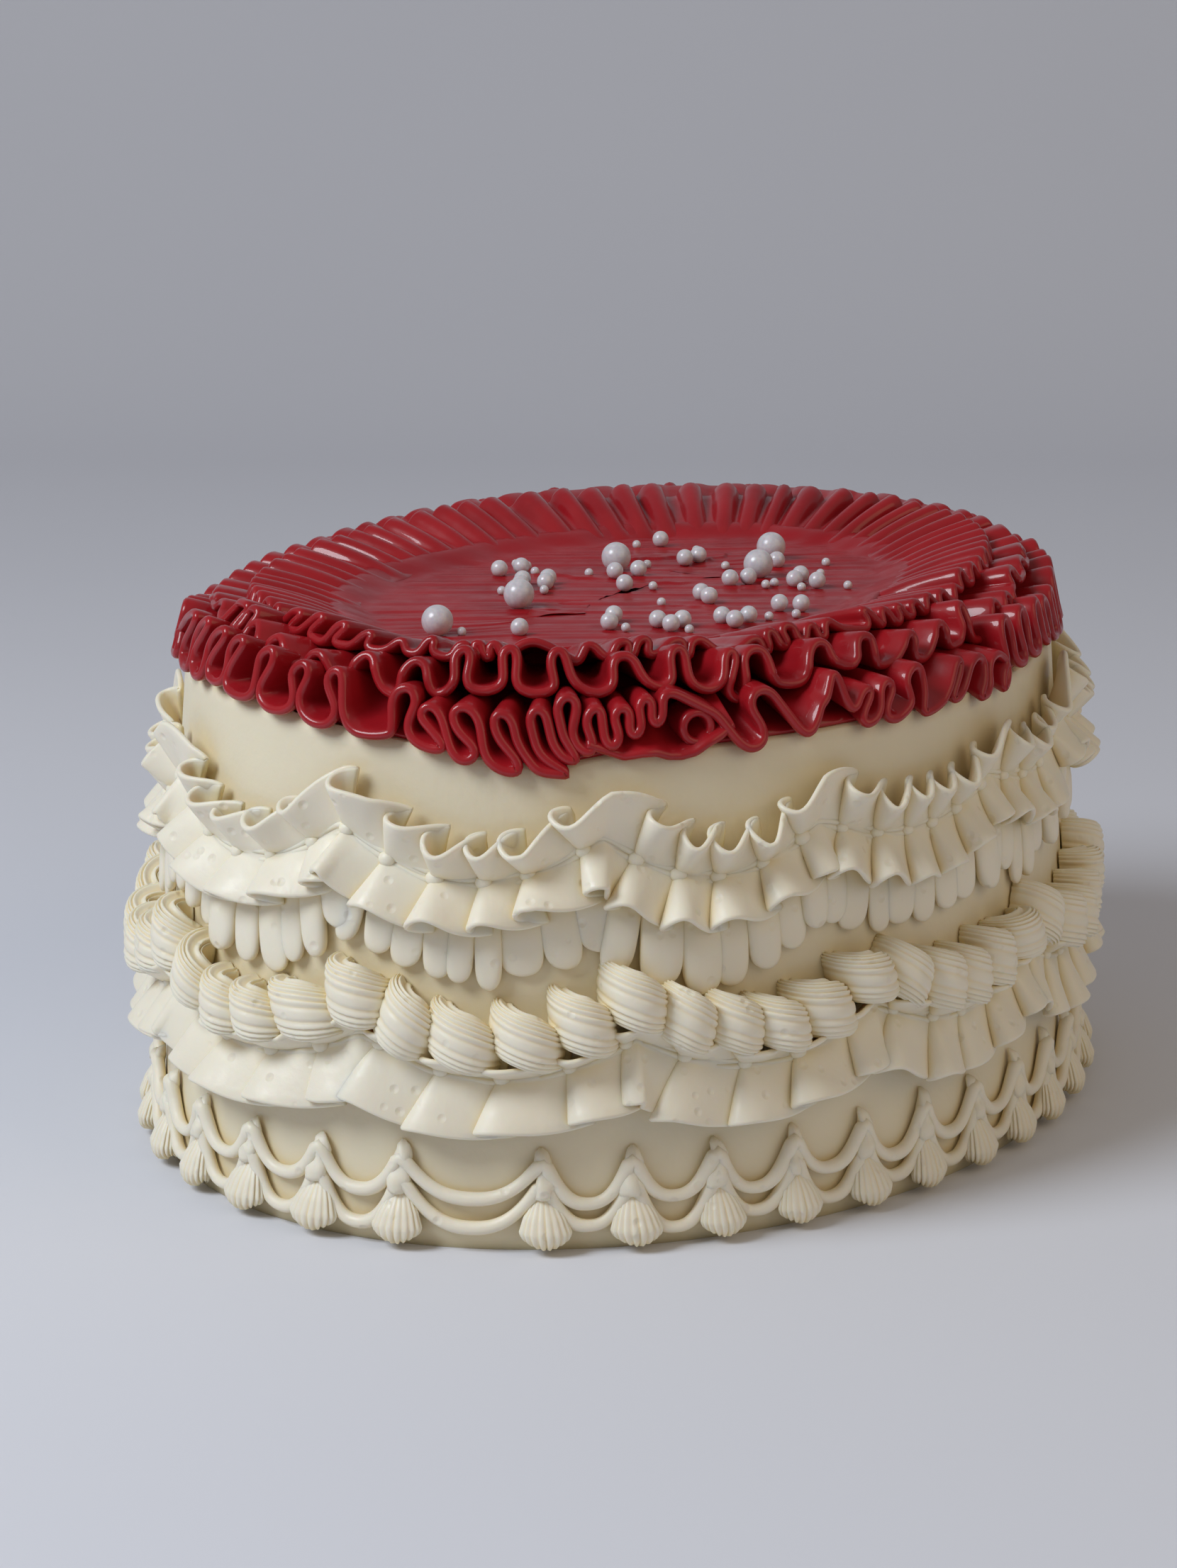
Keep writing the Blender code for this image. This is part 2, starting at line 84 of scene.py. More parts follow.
# Folded edges of the three frills in front: distance round the oval and height by turns, in mm
OUTER_FOLDS = (
    261.3, 115.8, 261.3, 111.2, 268.2, 111.9, 268.5, 114.1, 266, 117.2, 272, 121.1, 277.6, 123.2,
    281.5, 123.2, 280.2, 120.9, 276.1, 116.7, 275.7, 113.4, 280.5, 111.7, 284.3, 112.4, 284.7, 115.3,
    284.3, 118.9, 286.2, 122.1, 289.8, 124.1, 291.7, 123.6, 286, 116.8, 286, 113.6, 289.8, 111.6,
    293, 112.4, 293.8, 115.5, 293.8, 119.2, 295.9, 122.1, 299.4, 123.7, 301.3, 123.3, 300.3, 121.2,
    297.4, 118.3, 295.7, 115.3, 296.9, 113, 300.7, 112.5, 303.6, 113.4, 304.4, 116.3, 303.8, 119.8,
    305, 122.1, 307.7, 123.3, 309.5, 122.4, 305.8, 117.4, 304.6, 114.1, 305.8, 112.1, 309.9, 111.4,
    313.8, 111.7, 315.4, 113.2, 315.4, 120.6, 317.4, 122.2, 319.3, 122.6, 320.1, 121.3, 319.7, 119.2,
    317, 114.4, 317.8, 112, 320.7, 110.5, 324.3, 110.5, 326.9, 111.6, 327.5, 113.9, 325.7, 118.4,
    327.1, 120.3, 329, 121.1, 330.4, 120.2, 330.6, 118.4, 328.8, 114.5, 329.2, 112.2, 331, 110.2,
    333.6, 109.2, 336.6, 109.2, 338.2, 110.7, 338.5, 113, 335.8, 117, 335.4, 118.8, 336.4, 120.2,
    337.8, 120.7, 339.1, 119.9, 340.1, 112.5, 341.5, 109.8, 344.1, 108.3, 347.8, 108.2, 351.7, 108.8,
    351.1, 115.5, 351.9, 117.4, 353.3, 118.3, 355.2, 118.2, 356.2, 116.8, 356.4, 115.1, 355, 111.7,
    355, 109.8, 356, 108.2, 357.7, 107.1, 360, 106.3, 362.5, 106.2, 362.9, 107.2, 357.5, 112.6,
    357.7, 114.1, 358.5, 114.9, 360.2, 114.9, 361.6, 113.5, 362.5, 111.7, 363.9, 107.2, 365, 105.2,
    366.2, 104.2, 368.1, 104.1, 369.4, 105.2, 369.2, 106.8, 365.6, 110.1, 364.5, 112.1, 364.3, 113.9,
    365.4, 114.9, 367.5, 114.9, 369.2, 113.5, 370.2, 111.2, 370.9, 106.7, 371.7, 104.6, 373.6, 102.9,
    376.2, 101.9, 378.4, 102.2, 377.9, 104.2, 374.1, 108.6, 373, 111.1, 373, 113.2, 373.9, 114,
    375.8, 113.5, 377.1, 111.5, 377.5, 109, 378.6, 106.5, 381.4, 102.7, 383.1, 101.9, 388.4, 101.4,
    383.4, 104.6, 381.8, 106.7, 380.3, 112.5, 381, 114.4, 382.5, 114.8, 383.8, 113.4, 385.1, 107.6,
    386.7, 105.2, 388.4, 104.1, 390.2, 104.2, 387.3, 109, 386, 114.8, 387.1, 116.7, 388.6, 117.3,
    390.2, 116, 390.2, 114.1, 389.1, 110, 389.7, 107.5, 391.5, 105.8, 393.1, 105.8, 393.5, 107.3,
    392, 111.6, 392.4, 113.5, 394, 114.9, 395.3, 114.3, 395.8, 108, 396.9, 106.6, 398.5, 107.1,
    398.9, 109.3, 398, 111.7, 398, 113.5, 399.1, 114.6, 400.7, 114.5, 401.4, 113.2, 401, 109.8,
    401.6, 108.6, 403, 109, 403.7, 110.7, 403.2, 114.5, 403.9, 115.9, 404.8, 116.4, 406, 115.8, 406.2, 114,
    405.7, 112.4, 406.4, 110.6, 407.6, 111, 408.3, 112.5, 408.5, 116, 409.4, 117, 411, 116.9, 420.2, 111.9,
    424.7, 105.8, 426.8, 104.3, 429.2, 104.6, 430.7, 106.2, 430.4, 108.5, 428.3, 112.1, 428.3, 114,
    429.2, 115.4, 431.6, 116, 433.5, 115, 439.1, 107.2, 440.6, 105.8, 442.3, 106.1, 444.7, 109.5,
    445.2, 111.2, 447, 112.1, 449.4, 117.5, 450.7, 116.3, 452.1, 111.4, 453.4, 109.1, 454.9, 109.6,
    456.1, 111.7, 457.6, 113.1, 459.3, 113, 459.1, 111.4, 455.9, 107.6, 456.1, 105.8, 457.8, 105.7,
    460.1, 106.6, 461.6, 108.7, 461.8, 111.1, 462.6, 113.1, 464.3, 114, 465.8, 112.9, 465.3, 110.9,
    463.8, 109.5, 462.8, 107.7, 462.8, 106, 465.6, 105.4, 468.8, 106.7, 471.1, 108.1, 470.1, 112.9,
    471.4, 114.5, 473.4, 115.6, 475.4, 115, 475.6, 112.5, 475.6, 109.6, 473.9, 105.3, 477.4, 105.6,
    481.4, 106.8, 484.7, 109.6, 488, 114.1, 490, 114.5, 489.3, 112.2, 484.2, 106.7, 486.5, 106.3,
    489.5, 108.1, 493.6, 112.6, 496.6, 113.9, 499.2, 112.9, 498.9, 110.5, 498.1, 108.1, 494.9, 105.1,
    497.9, 105.1, 500.4, 107.1, 500.7, 110.1, 502.4, 112.2, 506, 112.9, 509.3, 111, 509.8, 108.5,
    508.2, 106.2, 505.5, 104.7,
)
MIDDLE_FOLDS = (
    284.7, 121.6, 285.6, 124, 287.9, 126.8, 294.2, 127, 292.3, 121.8, 294.2, 121.7, 295.9, 123.2,
    294.9, 125.2, 296.1, 126.7, 298.8, 127, 300.5, 126.3, 299.6, 124.1, 300.7, 122.1, 299.4, 120,
    300.3, 121.7, 299.8, 123.5, 302.5, 125, 305, 123.7, 308.5, 119.9, 310.3, 119.7, 311.5, 121.1,
    311.3, 122.3, 313.8, 123.7, 316.2, 122.8, 319.5, 118.5, 322.3, 117.7, 324.7, 118.9, 325.1, 120.6,
    327.5, 122.2, 329.8, 121.8, 332.6, 118, 335.4, 117.2, 338, 118.8, 338.5, 120.9, 340.1, 122.6,
    341.7, 123, 343.5, 122.2, 344.9, 118.3, 346.4, 116.2, 349.6, 115, 350.7, 117.2, 350.9, 120,
    352.3, 121.9, 354.4, 122.7, 356.4, 121.7, 357.7, 117.3, 358.7, 116, 360.4, 116, 362.2, 117.2,
    363.5, 119, 362.7, 123.5, 363.7, 124.8, 365.4, 125.3, 366.6, 124.5, 366.6, 122.3, 366, 120.4,
    366.2, 118.5, 367.7, 117.2, 370.2, 117, 372.8, 117.5, 374.5, 118.8, 373.9, 124.6, 375.6, 125.6,
    377.1, 125.2, 377.5, 123.1, 377.1, 119, 378.4, 117.3, 381.2, 116.5, 384.5, 116.8, 386.2, 117.9,
    385.1, 122.2, 385.3, 124.2, 386.9, 125.2, 388.4, 124.5, 389.7, 119.8, 391.3, 117.8, 393.5, 116.7,
    396, 116.3, 398.7, 117.4, 399.4, 119.3, 399.1, 121.3, 399.8, 123.1, 402.3, 123.8, 404.4, 122.6,
    405.5, 119.9, 406.9, 118, 409.2, 117, 411, 116.9, 412.7, 118.3, 412.7, 122.7, 413.4, 124.3,
    415.5, 124.6, 416.4, 123.3, 416.4, 118.7, 417.6, 116.8, 420.6, 115.6, 423.5, 116.3, 424.9, 117.9,
    425.9, 122.1, 427.1, 123.3, 428.5, 122.7, 428.5, 121.1, 426.1, 116.9, 425.6, 114.9, 427.3, 113,
    429.2, 113.4, 430.2, 115.6, 430.4, 121.1, 431.9, 122.6, 434.3, 123, 436.2, 121.9, 436.9, 119.5,
    436.9, 117.4, 438.1, 115.6, 441.1, 114.9, 444.5, 114.8, 446.2, 115.9, 447.7, 120.2, 449.4, 122.2,
    451.9, 122.6, 453.6, 121.4, 453.9, 118.5, 456.1, 117.3, 459.6, 116.5, 461.3, 117.8, 461.8, 120.2,
    462.8, 121.9, 464.8, 122.4, 467.1, 121.6, 466.6, 117.2, 467.3, 115.5, 470.6, 115.4, 474.1, 116,
    477.9, 119.8, 479.9, 121.1, 481.4, 119.9, 480.4, 117.7, 480.4, 115.4, 483.5, 114.4, 486.5, 115.8,
    490, 120.8, 492.6, 121.3, 493.8, 119.5, 493.1, 117.5, 494.9, 115.4, 499.7, 115.8, 500.9, 118.4,
    500.9, 121.9, 501.7, 123.6, 504, 123.5, 504, 117.9, 506, 115, 513, 114.1, 515.8, 116.3, 516.8, 119.9,
    518.8, 121.8, 521.6, 120.7, 521.3, 117.9, 520.3, 115.1, 524.6, 116, 525.6, 119, 527.3, 121.9,
    530.5, 120.8, 530, 117.7, 531.5, 114.8,
)
INNER_FOLDS = (
    299.2, 125.3, 298.2, 124.2, 300.5, 123.9, 303.2, 126.2, 306.8, 126.8, 308.3, 126.2, 304, 123.5,
    304.2, 122.8, 307.5, 122.6, 309.7, 123.3, 315.2, 126.9, 317.6, 127, 318.2, 126.6, 314.2, 123.8,
    313.8, 122.7, 318.9, 121.8, 320.9, 122.4, 323.3, 125.3, 325.3, 126.2, 327.3, 126.4, 327.3, 125.4,
    323.7, 122.7, 325.3, 122.1, 329.2, 122.1, 330.8, 122.6, 333.6, 124.8, 335.6, 125.3, 337, 125.1,
    335, 123, 336.2, 122.1, 339.7, 122, 342.3, 122.7, 344.5, 124.3, 346.2, 124.6, 347, 123.9, 346.8, 122.9,
    348, 122.1, 350.5, 122.1, 351.9, 123, 352.3, 124.2, 353.3, 125.1, 354.8, 125.5, 355.6, 125,
    354.6, 123.8, 354.8, 122.8, 356.4, 122.1, 358.9, 121.8, 360.6, 122.2, 361.4, 124.1, 363.1, 124.9,
    364.5, 124.3, 363.9, 123, 365.2, 122.2, 367.1, 121.9, 367.5, 122.9, 365.6, 123.9, 365.6, 124.8,
    367.1, 125.1, 368.3, 124.2, 367.9, 123.2, 369, 122, 370, 121.7, 370.5, 122.5, 369.6, 123.8, 370, 124.7,
    371.3, 125.1, 372.6, 124.2, 372.6, 123, 373.9, 122.4, 378.6, 125, 381.6, 125.4, 384.5, 124.6,
    389.1, 122.6, 390.6, 121.4, 392.2, 121.1, 393.1, 121.9, 394.2, 124.3, 395.3, 124.7, 396.7, 124.2,
    398.7, 122, 399.4, 121.8, 401, 122.2, 402.1, 124.5, 403.5, 125, 405.3, 124.7, 405.5, 123.4,
    404.6, 122.1, 405.7, 121.5, 406.7, 122.4, 406.9, 124, 408, 125.1, 409.7, 125.4, 410.8, 124.4,
    409.9, 123.3, 409.7, 122.1, 411, 121.8, 412.9, 122.1, 416.4, 124.4, 418.5, 124.5, 419.7, 123.7,
    418.5, 121.7, 419.5, 120.7, 420.6, 120.9, 421.1, 123.4, 422.3, 124.3, 424.4, 124.2, 427.5, 121.7,
    429.9, 121.3, 434, 121.4, 437.7, 123.2, 439.6, 123.2, 440.6, 122.3, 440.1, 121.1, 441.6, 120,
    442.8, 120.3, 442, 124.2, 443.5, 124.5, 445, 123.6, 445.2, 122, 446.5, 120.5, 448.2, 120.7,
    447.9, 122.2, 446.7, 123.7, 447.4, 124.9, 449.4, 125, 451.1, 124, 450.7, 122.6, 451.9, 121.3,
    453.9, 121.4, 454.6, 124.2, 456.4, 124.4, 457.6, 123.5, 457.3, 122.1, 458.3, 121.1, 460.3, 121.4,
    460.1, 123.1, 460.6, 124.3, 462.1, 124.6, 463.8, 123.2, 466.1, 122.3, 474.1, 121.2, 475.6, 122.2,
    475.1, 123.9, 473.6, 125.3, 475.1, 125.3, 476.9, 124.2, 480.2, 120.9, 481.2, 121.5, 480.7, 124.4,
    482.2, 124.5, 484.2, 123.3, 484.7, 121.6, 487, 120.6, 488.3, 121.4, 488, 123.2, 487, 124.4,
    488.8, 124.3, 490.8, 121.6, 493.3, 121.2, 494.3, 122.3, 493.1, 123.7, 495.9, 124.3, 497.6, 123.1,
    498.1, 121.8, 500.2, 121.2, 501.2, 122.7, 500.9, 124.2, 502.9, 124.7, 505.5, 121.7, 507.7, 121.4,
    507.5, 123.2, 508.2, 124.4, 510.8, 124.3, 513.5, 121.3, 516.3, 121.2, 517.8, 124.6,
)

# Red top and pearls, as in the solids
POOL_INSET = 38 * MM
POOL_TOP = 118.4 * MM
BIG_PEARL = 3.5 * MM
MEDIUM_PEARL = 2.0 * MM
SMALL_PEARL = 1.05 * MM
PEARL_SINK = 0.7 * MM
BIG_PLACES = ((18, 17), (51, -5), (31, -15), (-31, 8), (-65, 4))
CLUSTERS = ((-1, 34, 2), (-12, 20, 4), (11, 10, 2), (-2, 1, 1), (36, 9, 2), (48, 23, 1), (21, -20, 2),
            (27, -30, 3), (44, -13, 1), (-1, -21, 2), (2, -44, 2), (-19, -44, 3), (-29, -33, 3),
            (-36, -19, 2), (-52, -4, 1))
CLUSTER_SPREAD = 5.0 * MM
SCATTER_SPREAD = 11.0 * MM
SMALL_PEARLS = 24

# Swags and strings of the side, as in the solids. The upper ruffle hangs between high points:
# their distance round the oval, their height, and the lowest height of the swag that follows, in mm
UPPER_POINTS = ((56, 92, 82.5), (114, 91, 81.5), (172, 90, 80), (230, 88, 79), (285, 90, 78.5),
                (341, 89, 79), (395, 88, 78.5), (443, 87, 81.2), (497, 88, 84.2), (540, 95, 84.5),
                (598, 94, 84), (655, 93, 83.5))
PETALS = 104
SHELLS = 60
SHELL_SWAGS = 12
SHELL_SHIFT = 17.8 * MM
SHELL_HIGH = 54.5 * MM
SHELL_LOW = 46.5 * MM
SCALLOPS = 37
STRING_START = 382.7 * MM
WIDE_SCALLOP = 1.6
UPPER_STRING = (20.5 * MM, 11.0 * MM)
LOWER_STRING = (16.2 * MM, 5.0 * MM)

# Fineness of the meshes
FOLD_STEPS = 24
FRILL_STEP = 0.75 * MM
PLEAT_STEP = 0.95 * MM
ROUNDED_EDGE = 5


# The oval plan

HALF_LENGTH = LENGTH / 2
HALF_WIDTH = WIDTH / 2
ANGLES = np.linspace(0, 2 * math.pi, 721)
ARCS = np.concatenate(([0], np.cumsum(np.hypot(
    np.diff(HALF_LENGTH * np.cos(ANGLES)),
    np.diff(HALF_WIDTH * np.sin(ANGLES)),
))))
ROUND = float(ARCS[-1])


def angle_at(arc):
    return np.interp(np.mod(arc, ROUND), ARCS, ANGLES)


def place(arc, out, height):
    """Points at distances round the oval from its +X end, out from its leaning side, and up."""
    angle = angle_at(arc)
    cos, sin = np.cos(angle), np.sin(angle)
    size = np.hypot(HALF_WIDTH * cos, HALF_LENGTH * sin)
    out = out + SIDE_LEAN * (MEASURED_AT - height)
    x = HALF_LENGTH * cos + out * HALF_WIDTH * cos / size
    y = HALF_WIDTH * sin + out * HALF_LENGTH * sin / size
    return np.stack(np.broadcast_arrays(x, y, height), axis=-1)


# Mesh tools

def unit(vectors):
    return vectors / np.maximum(np.linalg.norm(vectors, axis=-1, keepdims=True), 1e-12)


def mix(start, end, share):
    return start + (end - start) * share


def squared(wave, power):
    """A sine or cosine made blunter, or with a power over 1 sharper."""
    return np.sign(wave) * np.abs(wave) ** power


def ease(share):
    share = np.clip(share, 0, 1)
    return share * share * (3 - 2 * share)


def smooth(values, width):
    """A closed column of values blurred over a number of steps."""
    reach = int(3 * width) + 1
    kernel = np.exp(-0.5 * (np.arange(-reach, reach + 1) / width) ** 2)
    padded = np.concatenate((values[-reach:], values, values[:reach]))
    return np.convolve(padded, kernel / kernel.sum(), "valid")


def grid_quads(rows, columns, closed_rows, closed_columns, start=0):
    """Faces of a grid of points, joined end to end where it is closed."""
    i = np.arange(rows if closed_rows else rows - 1)
    j = np.arange(columns if closed_columns else columns - 1)
    i, j = [part.ravel() for part in np.meshgrid(i, j, indexing="ij")]
    below, beside = (i + 1) % rows, (j + 1) % columns
    corners = (i * columns + j, below * columns + j, below * columns + beside, i * columns + beside)
    return (np.stack(corners, axis=-1) + start).tolist()


def linked(name, data):
    """A new object in the scene."""
    thing = bpy.data.objects.new(name, data)
    bpy.context.collection.objects.link(thing)
    return thing


class Shape:
    """Points, faces and a depth from 0 on the outside to 1 in the hollows, by which the cream materials
    paint a warm shade into the hollows.
    """

    def __init__(self):
        self.points = []
        self.faces = []
        self.depths = []
        self.count = 0

    def add(self, points, faces, depth):
        points = np.asarray(points).reshape(-1, 3)
        self.points.append(points)
        self.faces += faces
        self.depths.append(np.broadcast_to(np.asarray(depth, float).reshape(-1), (len(points),)))
        self.count += len(points)

    def add_ring(self, grid, depth=0.0):
        """A closed band: a loop of closed sections."""
        rows, columns = grid.shape[:2]
        self.add(grid, grid_quads(rows, columns, True, True, self.count), depth)

    def add_loft(self, grid, depth=0.0):
        """A closed body: a row of closed sections, with both ends capped."""
        rows, columns = grid.shape[:2]
        faces = grid_quads(rows, columns, False, True, self.count)
        faces.append(list(range(self.count, self.count + columns)))
        last = self.count + (rows - 1) * columns
        faces.append(list(range(last, last + columns)))
        self.add(grid, faces, depth)

    def piece(self, name, material, nodes):
        mesh = bpy.data.meshes.new(name)
        mesh.from_pydata(np.concatenate(self.points).tolist(), [], self.faces)
        # The depth is kept on the mesh for the cream materials, which paint a warm yellow shade into the
        # hollows by it
        depth = mesh.attributes.new("depth", "FLOAT", "POINT")
        depth.data.foreach_set("value", np.concatenate(self.depths).astype(np.float32))
        form = bmesh.new()
        form.from_mesh(mesh)
        bmesh.ops.recalc_face_normals(form, faces=form.faces)
        form.to_mesh(mesh)
        form.free()
        mesh.shade_smooth()
        mesh.materials.append(material)
        thing = linked(name, mesh)
        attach(thing, "root")
        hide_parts(*nodes)


def sheet(mid, thick, closed=True):
    """Sections of a band of icing round its middle surface, a loop or a strip of rows of
    points; both long edges are rounded."""
    around = np.roll(mid, -1, axis=0) - np.roll(mid, 1, axis=0) if closed else np.gradient(mid, axis=0)
    across = unit(np.gradient(mid, axis=1))
    normal = unit(np.cross(around, across))
    half = np.broadcast_to(thick, mid.shape[:2])[..., None] / 2

    def edge(k, side):
        turns = [math.pi * step / ROUNDED_EDGE for step in range(1, ROUNDED_EDGE)]
        ways = [normal[:, k] * math.cos(turn) + across[:, k] * math.sin(turn) for turn in turns]
        return np.stack([mid[:, k] + side * half[:, k] * way for way in ways], axis=1)

    front = mid + normal * half
    back = (mid - normal * half)[:, ::-1]
    return np.concatenate((front, edge(-1, 1), back, edge(0, -1)), axis=1)


# Folds

def uneven_steps(total, count, spread, draw):
    """Positions round a loop whose steps differ by up to a share of their mean."""
    widths = np.array([draw.uniform(1 - spread, 1 + spread) for _ in range(count)])
    return np.concatenate(([0], np.cumsum(widths))) * total / widths.sum()


def walk(line, step):
    """Points at even steps along a closed line of distances round and other columns."""
    ends = np.concatenate((line, line[:1] + [[ROUND] + [0] * (line.shape[1] - 1)]))
    travelled = np.concatenate(([0], np.cumsum(np.linalg.norm(np.diff(ends, axis=0), axis=1))))
    wanted = np.arange(0, travelled[-1] - step / 2, step)
    return np.stack([np.interp(wanted, travelled, column) for column in ends.T], axis=-1)


def smooth_round(along, width):
    """Blurs distances that grow by one round of the cake along a closed line."""
    turns = np.arange(len(along)) / len(along) * ROUND
    return smooth(along - turns, width) + turns


# Red frills

def height_at(table, angle):
    """Heights from one of the tables at the top, at angles round the oval."""
    degrees, heights = zip(*table)
    return np.interp(np.degrees(angle) % 360, degrees, heights) * MM


def hem(angle):
    return height_at(HEM, angle)


def slope_height(edge, root, edge_height, inset):
    """Height on the straight slope from a frill's edge in to its root."""
    return mix(edge_height, root[1], (inset - edge) / (root[0] - edge))


def outer_high(angle):
    return height_at(OUTER_TOP, angle)


def middle_low(angle):
    return slope_height(OUTER_EDGE[1], OUTER_ROOT, outer_high(angle), MIDDLE_EDGE[0]) + TIER_GAP


def middle_high(angle):
    return np.minimum(middle_low(angle) + MIDDLE_RISE, height_at(CREST, angle) - CREST_STEP)


def inner_low(angle):
    return slope_height(MIDDLE_EDGE[1], MIDDLE_ROOT, middle_high(angle), INNER_EDGE[0]) - INNER_DROP


def inner_high(angle):
    return height_at(CREST, angle)


Frill = namedtuple("Frill", "name edge root low high folds leg pinch seed")

FRILLS = (
    Frill("frill_outer", OUTER_EDGE, OUTER_ROOT, hem, outer_high,
          OUTER_FOLDS, 5.6 * MM, (0.42, 0.16), 3),
    Frill("frill_middle", MIDDLE_EDGE, MIDDLE_ROOT, middle_low, middle_high,
          MIDDLE_FOLDS, 6.2 * MM, (0.34, 0.14), 5),
    Frill("frill_inner", INNER_EDGE, INNER_ROOT, inner_low, inner_high,
          INNER_FOLDS, 4.7 * MM, (0.3, 0.06), 8),
)
LEG_STATIONS = (0.0, 0.14, 0.3, 0.5, 0.7, 0.86)


def ruled_folds(frill, start, end):
    """Folds that go on where none are listed: legs of uneven widths, up and down by turns;
    the low loops are wider than the high ones."""
    draw = random.Random(frill.seed)
    count = 2 * round((end - start) / frill.leg / 2)
    places = start + uneven_steps(end - start, count, 0.42, draw)
    levels = [draw.uniform(0.0, 0.16) if k % 2 == 0 else 1 - draw.uniform(0.0, 0.14) for k in range(count)]
    levels.append(levels[0])
    leans = [draw.uniform(-0.9, 1.6) * MM for _ in range(count + 1)]
    points = []
    for k in range(count):
        for t in LEG_STATIONS:
            share = (1 - math.cos(math.pi * t)) / 2
            level = mix(levels[k], levels[k + 1], share)
            pinch = mix(*frill.pinch, level)
            arc = mix(places[k], places[k + 1], t + pinch * math.sin(2 * math.pi * t))
            arc += mix(leans[k], leans[k + 1], share) * (1 - level)
            angle = angle_at(arc)
            low, high = frill.low(angle) + RIBBON / 2, frill.high(angle) - RIBBON / 2
            points.append((arc, mix(float(low), float(high), level)))
    return points


def frill_line(frill):
    """The folded edge of a frill: distance round, height and root distance."""
    listed = np.reshape(frill.folds, (-1, 2)) * MM
    ruled = ruled_folds(frill, listed[-1, 0] + FOLD_GAP, listed[0, 0] - FOLD_GAP + ROUND)
    line = walk(np.concatenate((listed, ruled)), FRILL_STEP)
    along, height = smooth_round(line[:, 0], 1.3), smooth(line[:, 1], 1.3)
    return along, height, smooth_round(line[:, 0], 26)


def make_frill(frill, material):
    along, height, root = frill_line(frill)
    v = np.linspace(0, 1, 9)[None, :]
    angle = angle_at(along)
    low, high = frill.low(angle), frill.high(angle)
    share = np.clip((height - low) / (high - low), 0, 1)
    inset = mix(frill.edge[0], frill.edge[1], share)
    arc = mix(root[:, None], along[:, None], v ** 0.85)
    out = -mix(frill.root[0], inset[:, None], v)
    up = mix(frill.root[1], height[:, None], v) + 1.2 * MM * share[:, None] * 4 * v * (1 - v)
    thick = RIBBON * mix(0.85, 1.0, v ** 6)
    shape = Shape()
    shape.add_ring(sheet(place(arc, out, up), thick))
    shape.piece(frill.name + "_ribbon", material, [frill.name])


def shoulder(angle, inset):
    """Height of the cake's rounded top edge below the lowest folds of the outer frill."""
    return slope_height(OUTER_EDGE[0], OUTER_ROOT, hem(angle), inset)


def make_backing(material):
    """Thin red icing under the frills, on which their hollows end."""
    arc = np.linspace(0, ROUND, 360, endpoint=False)
    angle = angle_at(arc)
    insets = np.array([0.8, 4.0, 9.0, 17.8]) * MM
    upper = [(inset, shoulder(angle, inset) + 0.3 * MM) for inset in insets]
    lower = [(inset + 0.3 * MM, shoulder(angle, inset) - 0.6 * MM) for inset in insets[::-1]]
    inner = [(27.5 * MM, MIDDLE_ROOT[1] + 0 * arc), (38.5 * MM, INNER_ROOT[1] + 0 * arc),
             (38.5 * MM, INNER_ROOT[1] - 3 * MM + 0 * arc), (20.0 * MM, OUTER_ROOT[1] - 0.6 * MM + 0 * arc)]
    grid = np.stack([place(arc, -inset, height) for inset, height in upper + inner + lower], axis=1)
    shape = Shape()
    shape.add_ring(grid)
    shape.piece("frill_backing", material, ["frill_outer"])


# Lower edge of a loose flap in the outer frill's widest hollow in front, and a curl over it:
# distances round and heights, and the curl's radius, in mm
FLAP = ((392, 107.5), (396.2, 105.9), (399.8, 104.6), (403.5, 105.2), (406.4, 105.2), (409.4, 104.1),
        (412.2, 103.9), (415, 104.6), (417.6, 106.3), (421.1, 107.8), (424, 109.5))
CURL = (416.0, 109.4, 3.1)


def make_flap(material):
    """The flap and the curl; both run in to the cake's shoulder."""
    shape = Shape()
    v = np.linspace(0, 1, 9)[None, :]
    at, heights = (np.array(column) * MM for column in zip(*FLAP))
    arc = np.linspace(at[0], at[-1], 60)[:, None]
    low = np.interp(arc, at, heights)
    ripple = 0.5 * MM * np.sin(arc / (2.2 * MM)) * v
    flap = place(arc + 0 * v, mix(-9 * MM, 1.6 * MM, v) + ripple, mix(low + 5.5 * MM, low, v))
    shape.add_loft(sheet(flap, 0.9 * RIBBON, closed=False))
    at, height, radius = (value * MM for value in CURL)
    turn = np.linspace(0, 2 * np.pi, 40, endpoint=False)[:, None]
    curl = place(at + radius * np.cos(turn) + 0 * v, mix(-8 * MM, 0.4 * MM, v),
                 height + radius * np.sin(turn) + 0 * v)
    shape.add_ring(sheet(curl, 0.9 * RIBBON))
    shape.piece("frill_flap", material, ["frill_outer"])


# Red top with pearls

STREAK_TURN = math.radians(-49)
# Waves left by the knife: pitch and height in mm, and phase
STREAKS = ((2.3, 0.07, 0.0), (5.1, 0.14, 1.3), (3.4, 0.07, 4.0), (9.0, 0.28, 2.1))

# Torn strokes of the palette knife: middle, half length and turn in the plan, and height, in mm
SMEARS = ((38, 26, 13, -20, 1.6), (12, -6, 16, -52, 0.9), (-20, 4, 13, -45, -0.9), (52, 12, 9, 10, 1.2),
          (-40, -4, 11, -30, 1.1), (5, 30, 14, -60, 0.9), (-8, -30, 12, -40, 0.9))


def smear(flat, x, y, half, turn, height):
    """Heights of one stroke, steep on one side and fading on the other, in units of the waves."""
    turn = math.radians(turn)
    ahead, aside = flat[..., 0] / MM - x, flat[..., 1] / MM - y
    along = ahead * math.cos(turn) + aside * math.sin(turn)
    across = aside * math.cos(turn) - ahead * math.sin(turn)
    across = across + 1.2 * np.sin(along / 3.0) + 0.5 * np.sin(along / 1.1)
    profile = np.where(across > 0, np.exp(-across / 4.0), np.exp(-(across / 0.7) ** 2))
    return height * profile * ease(1.6 * (1 - np.abs(along) / half))


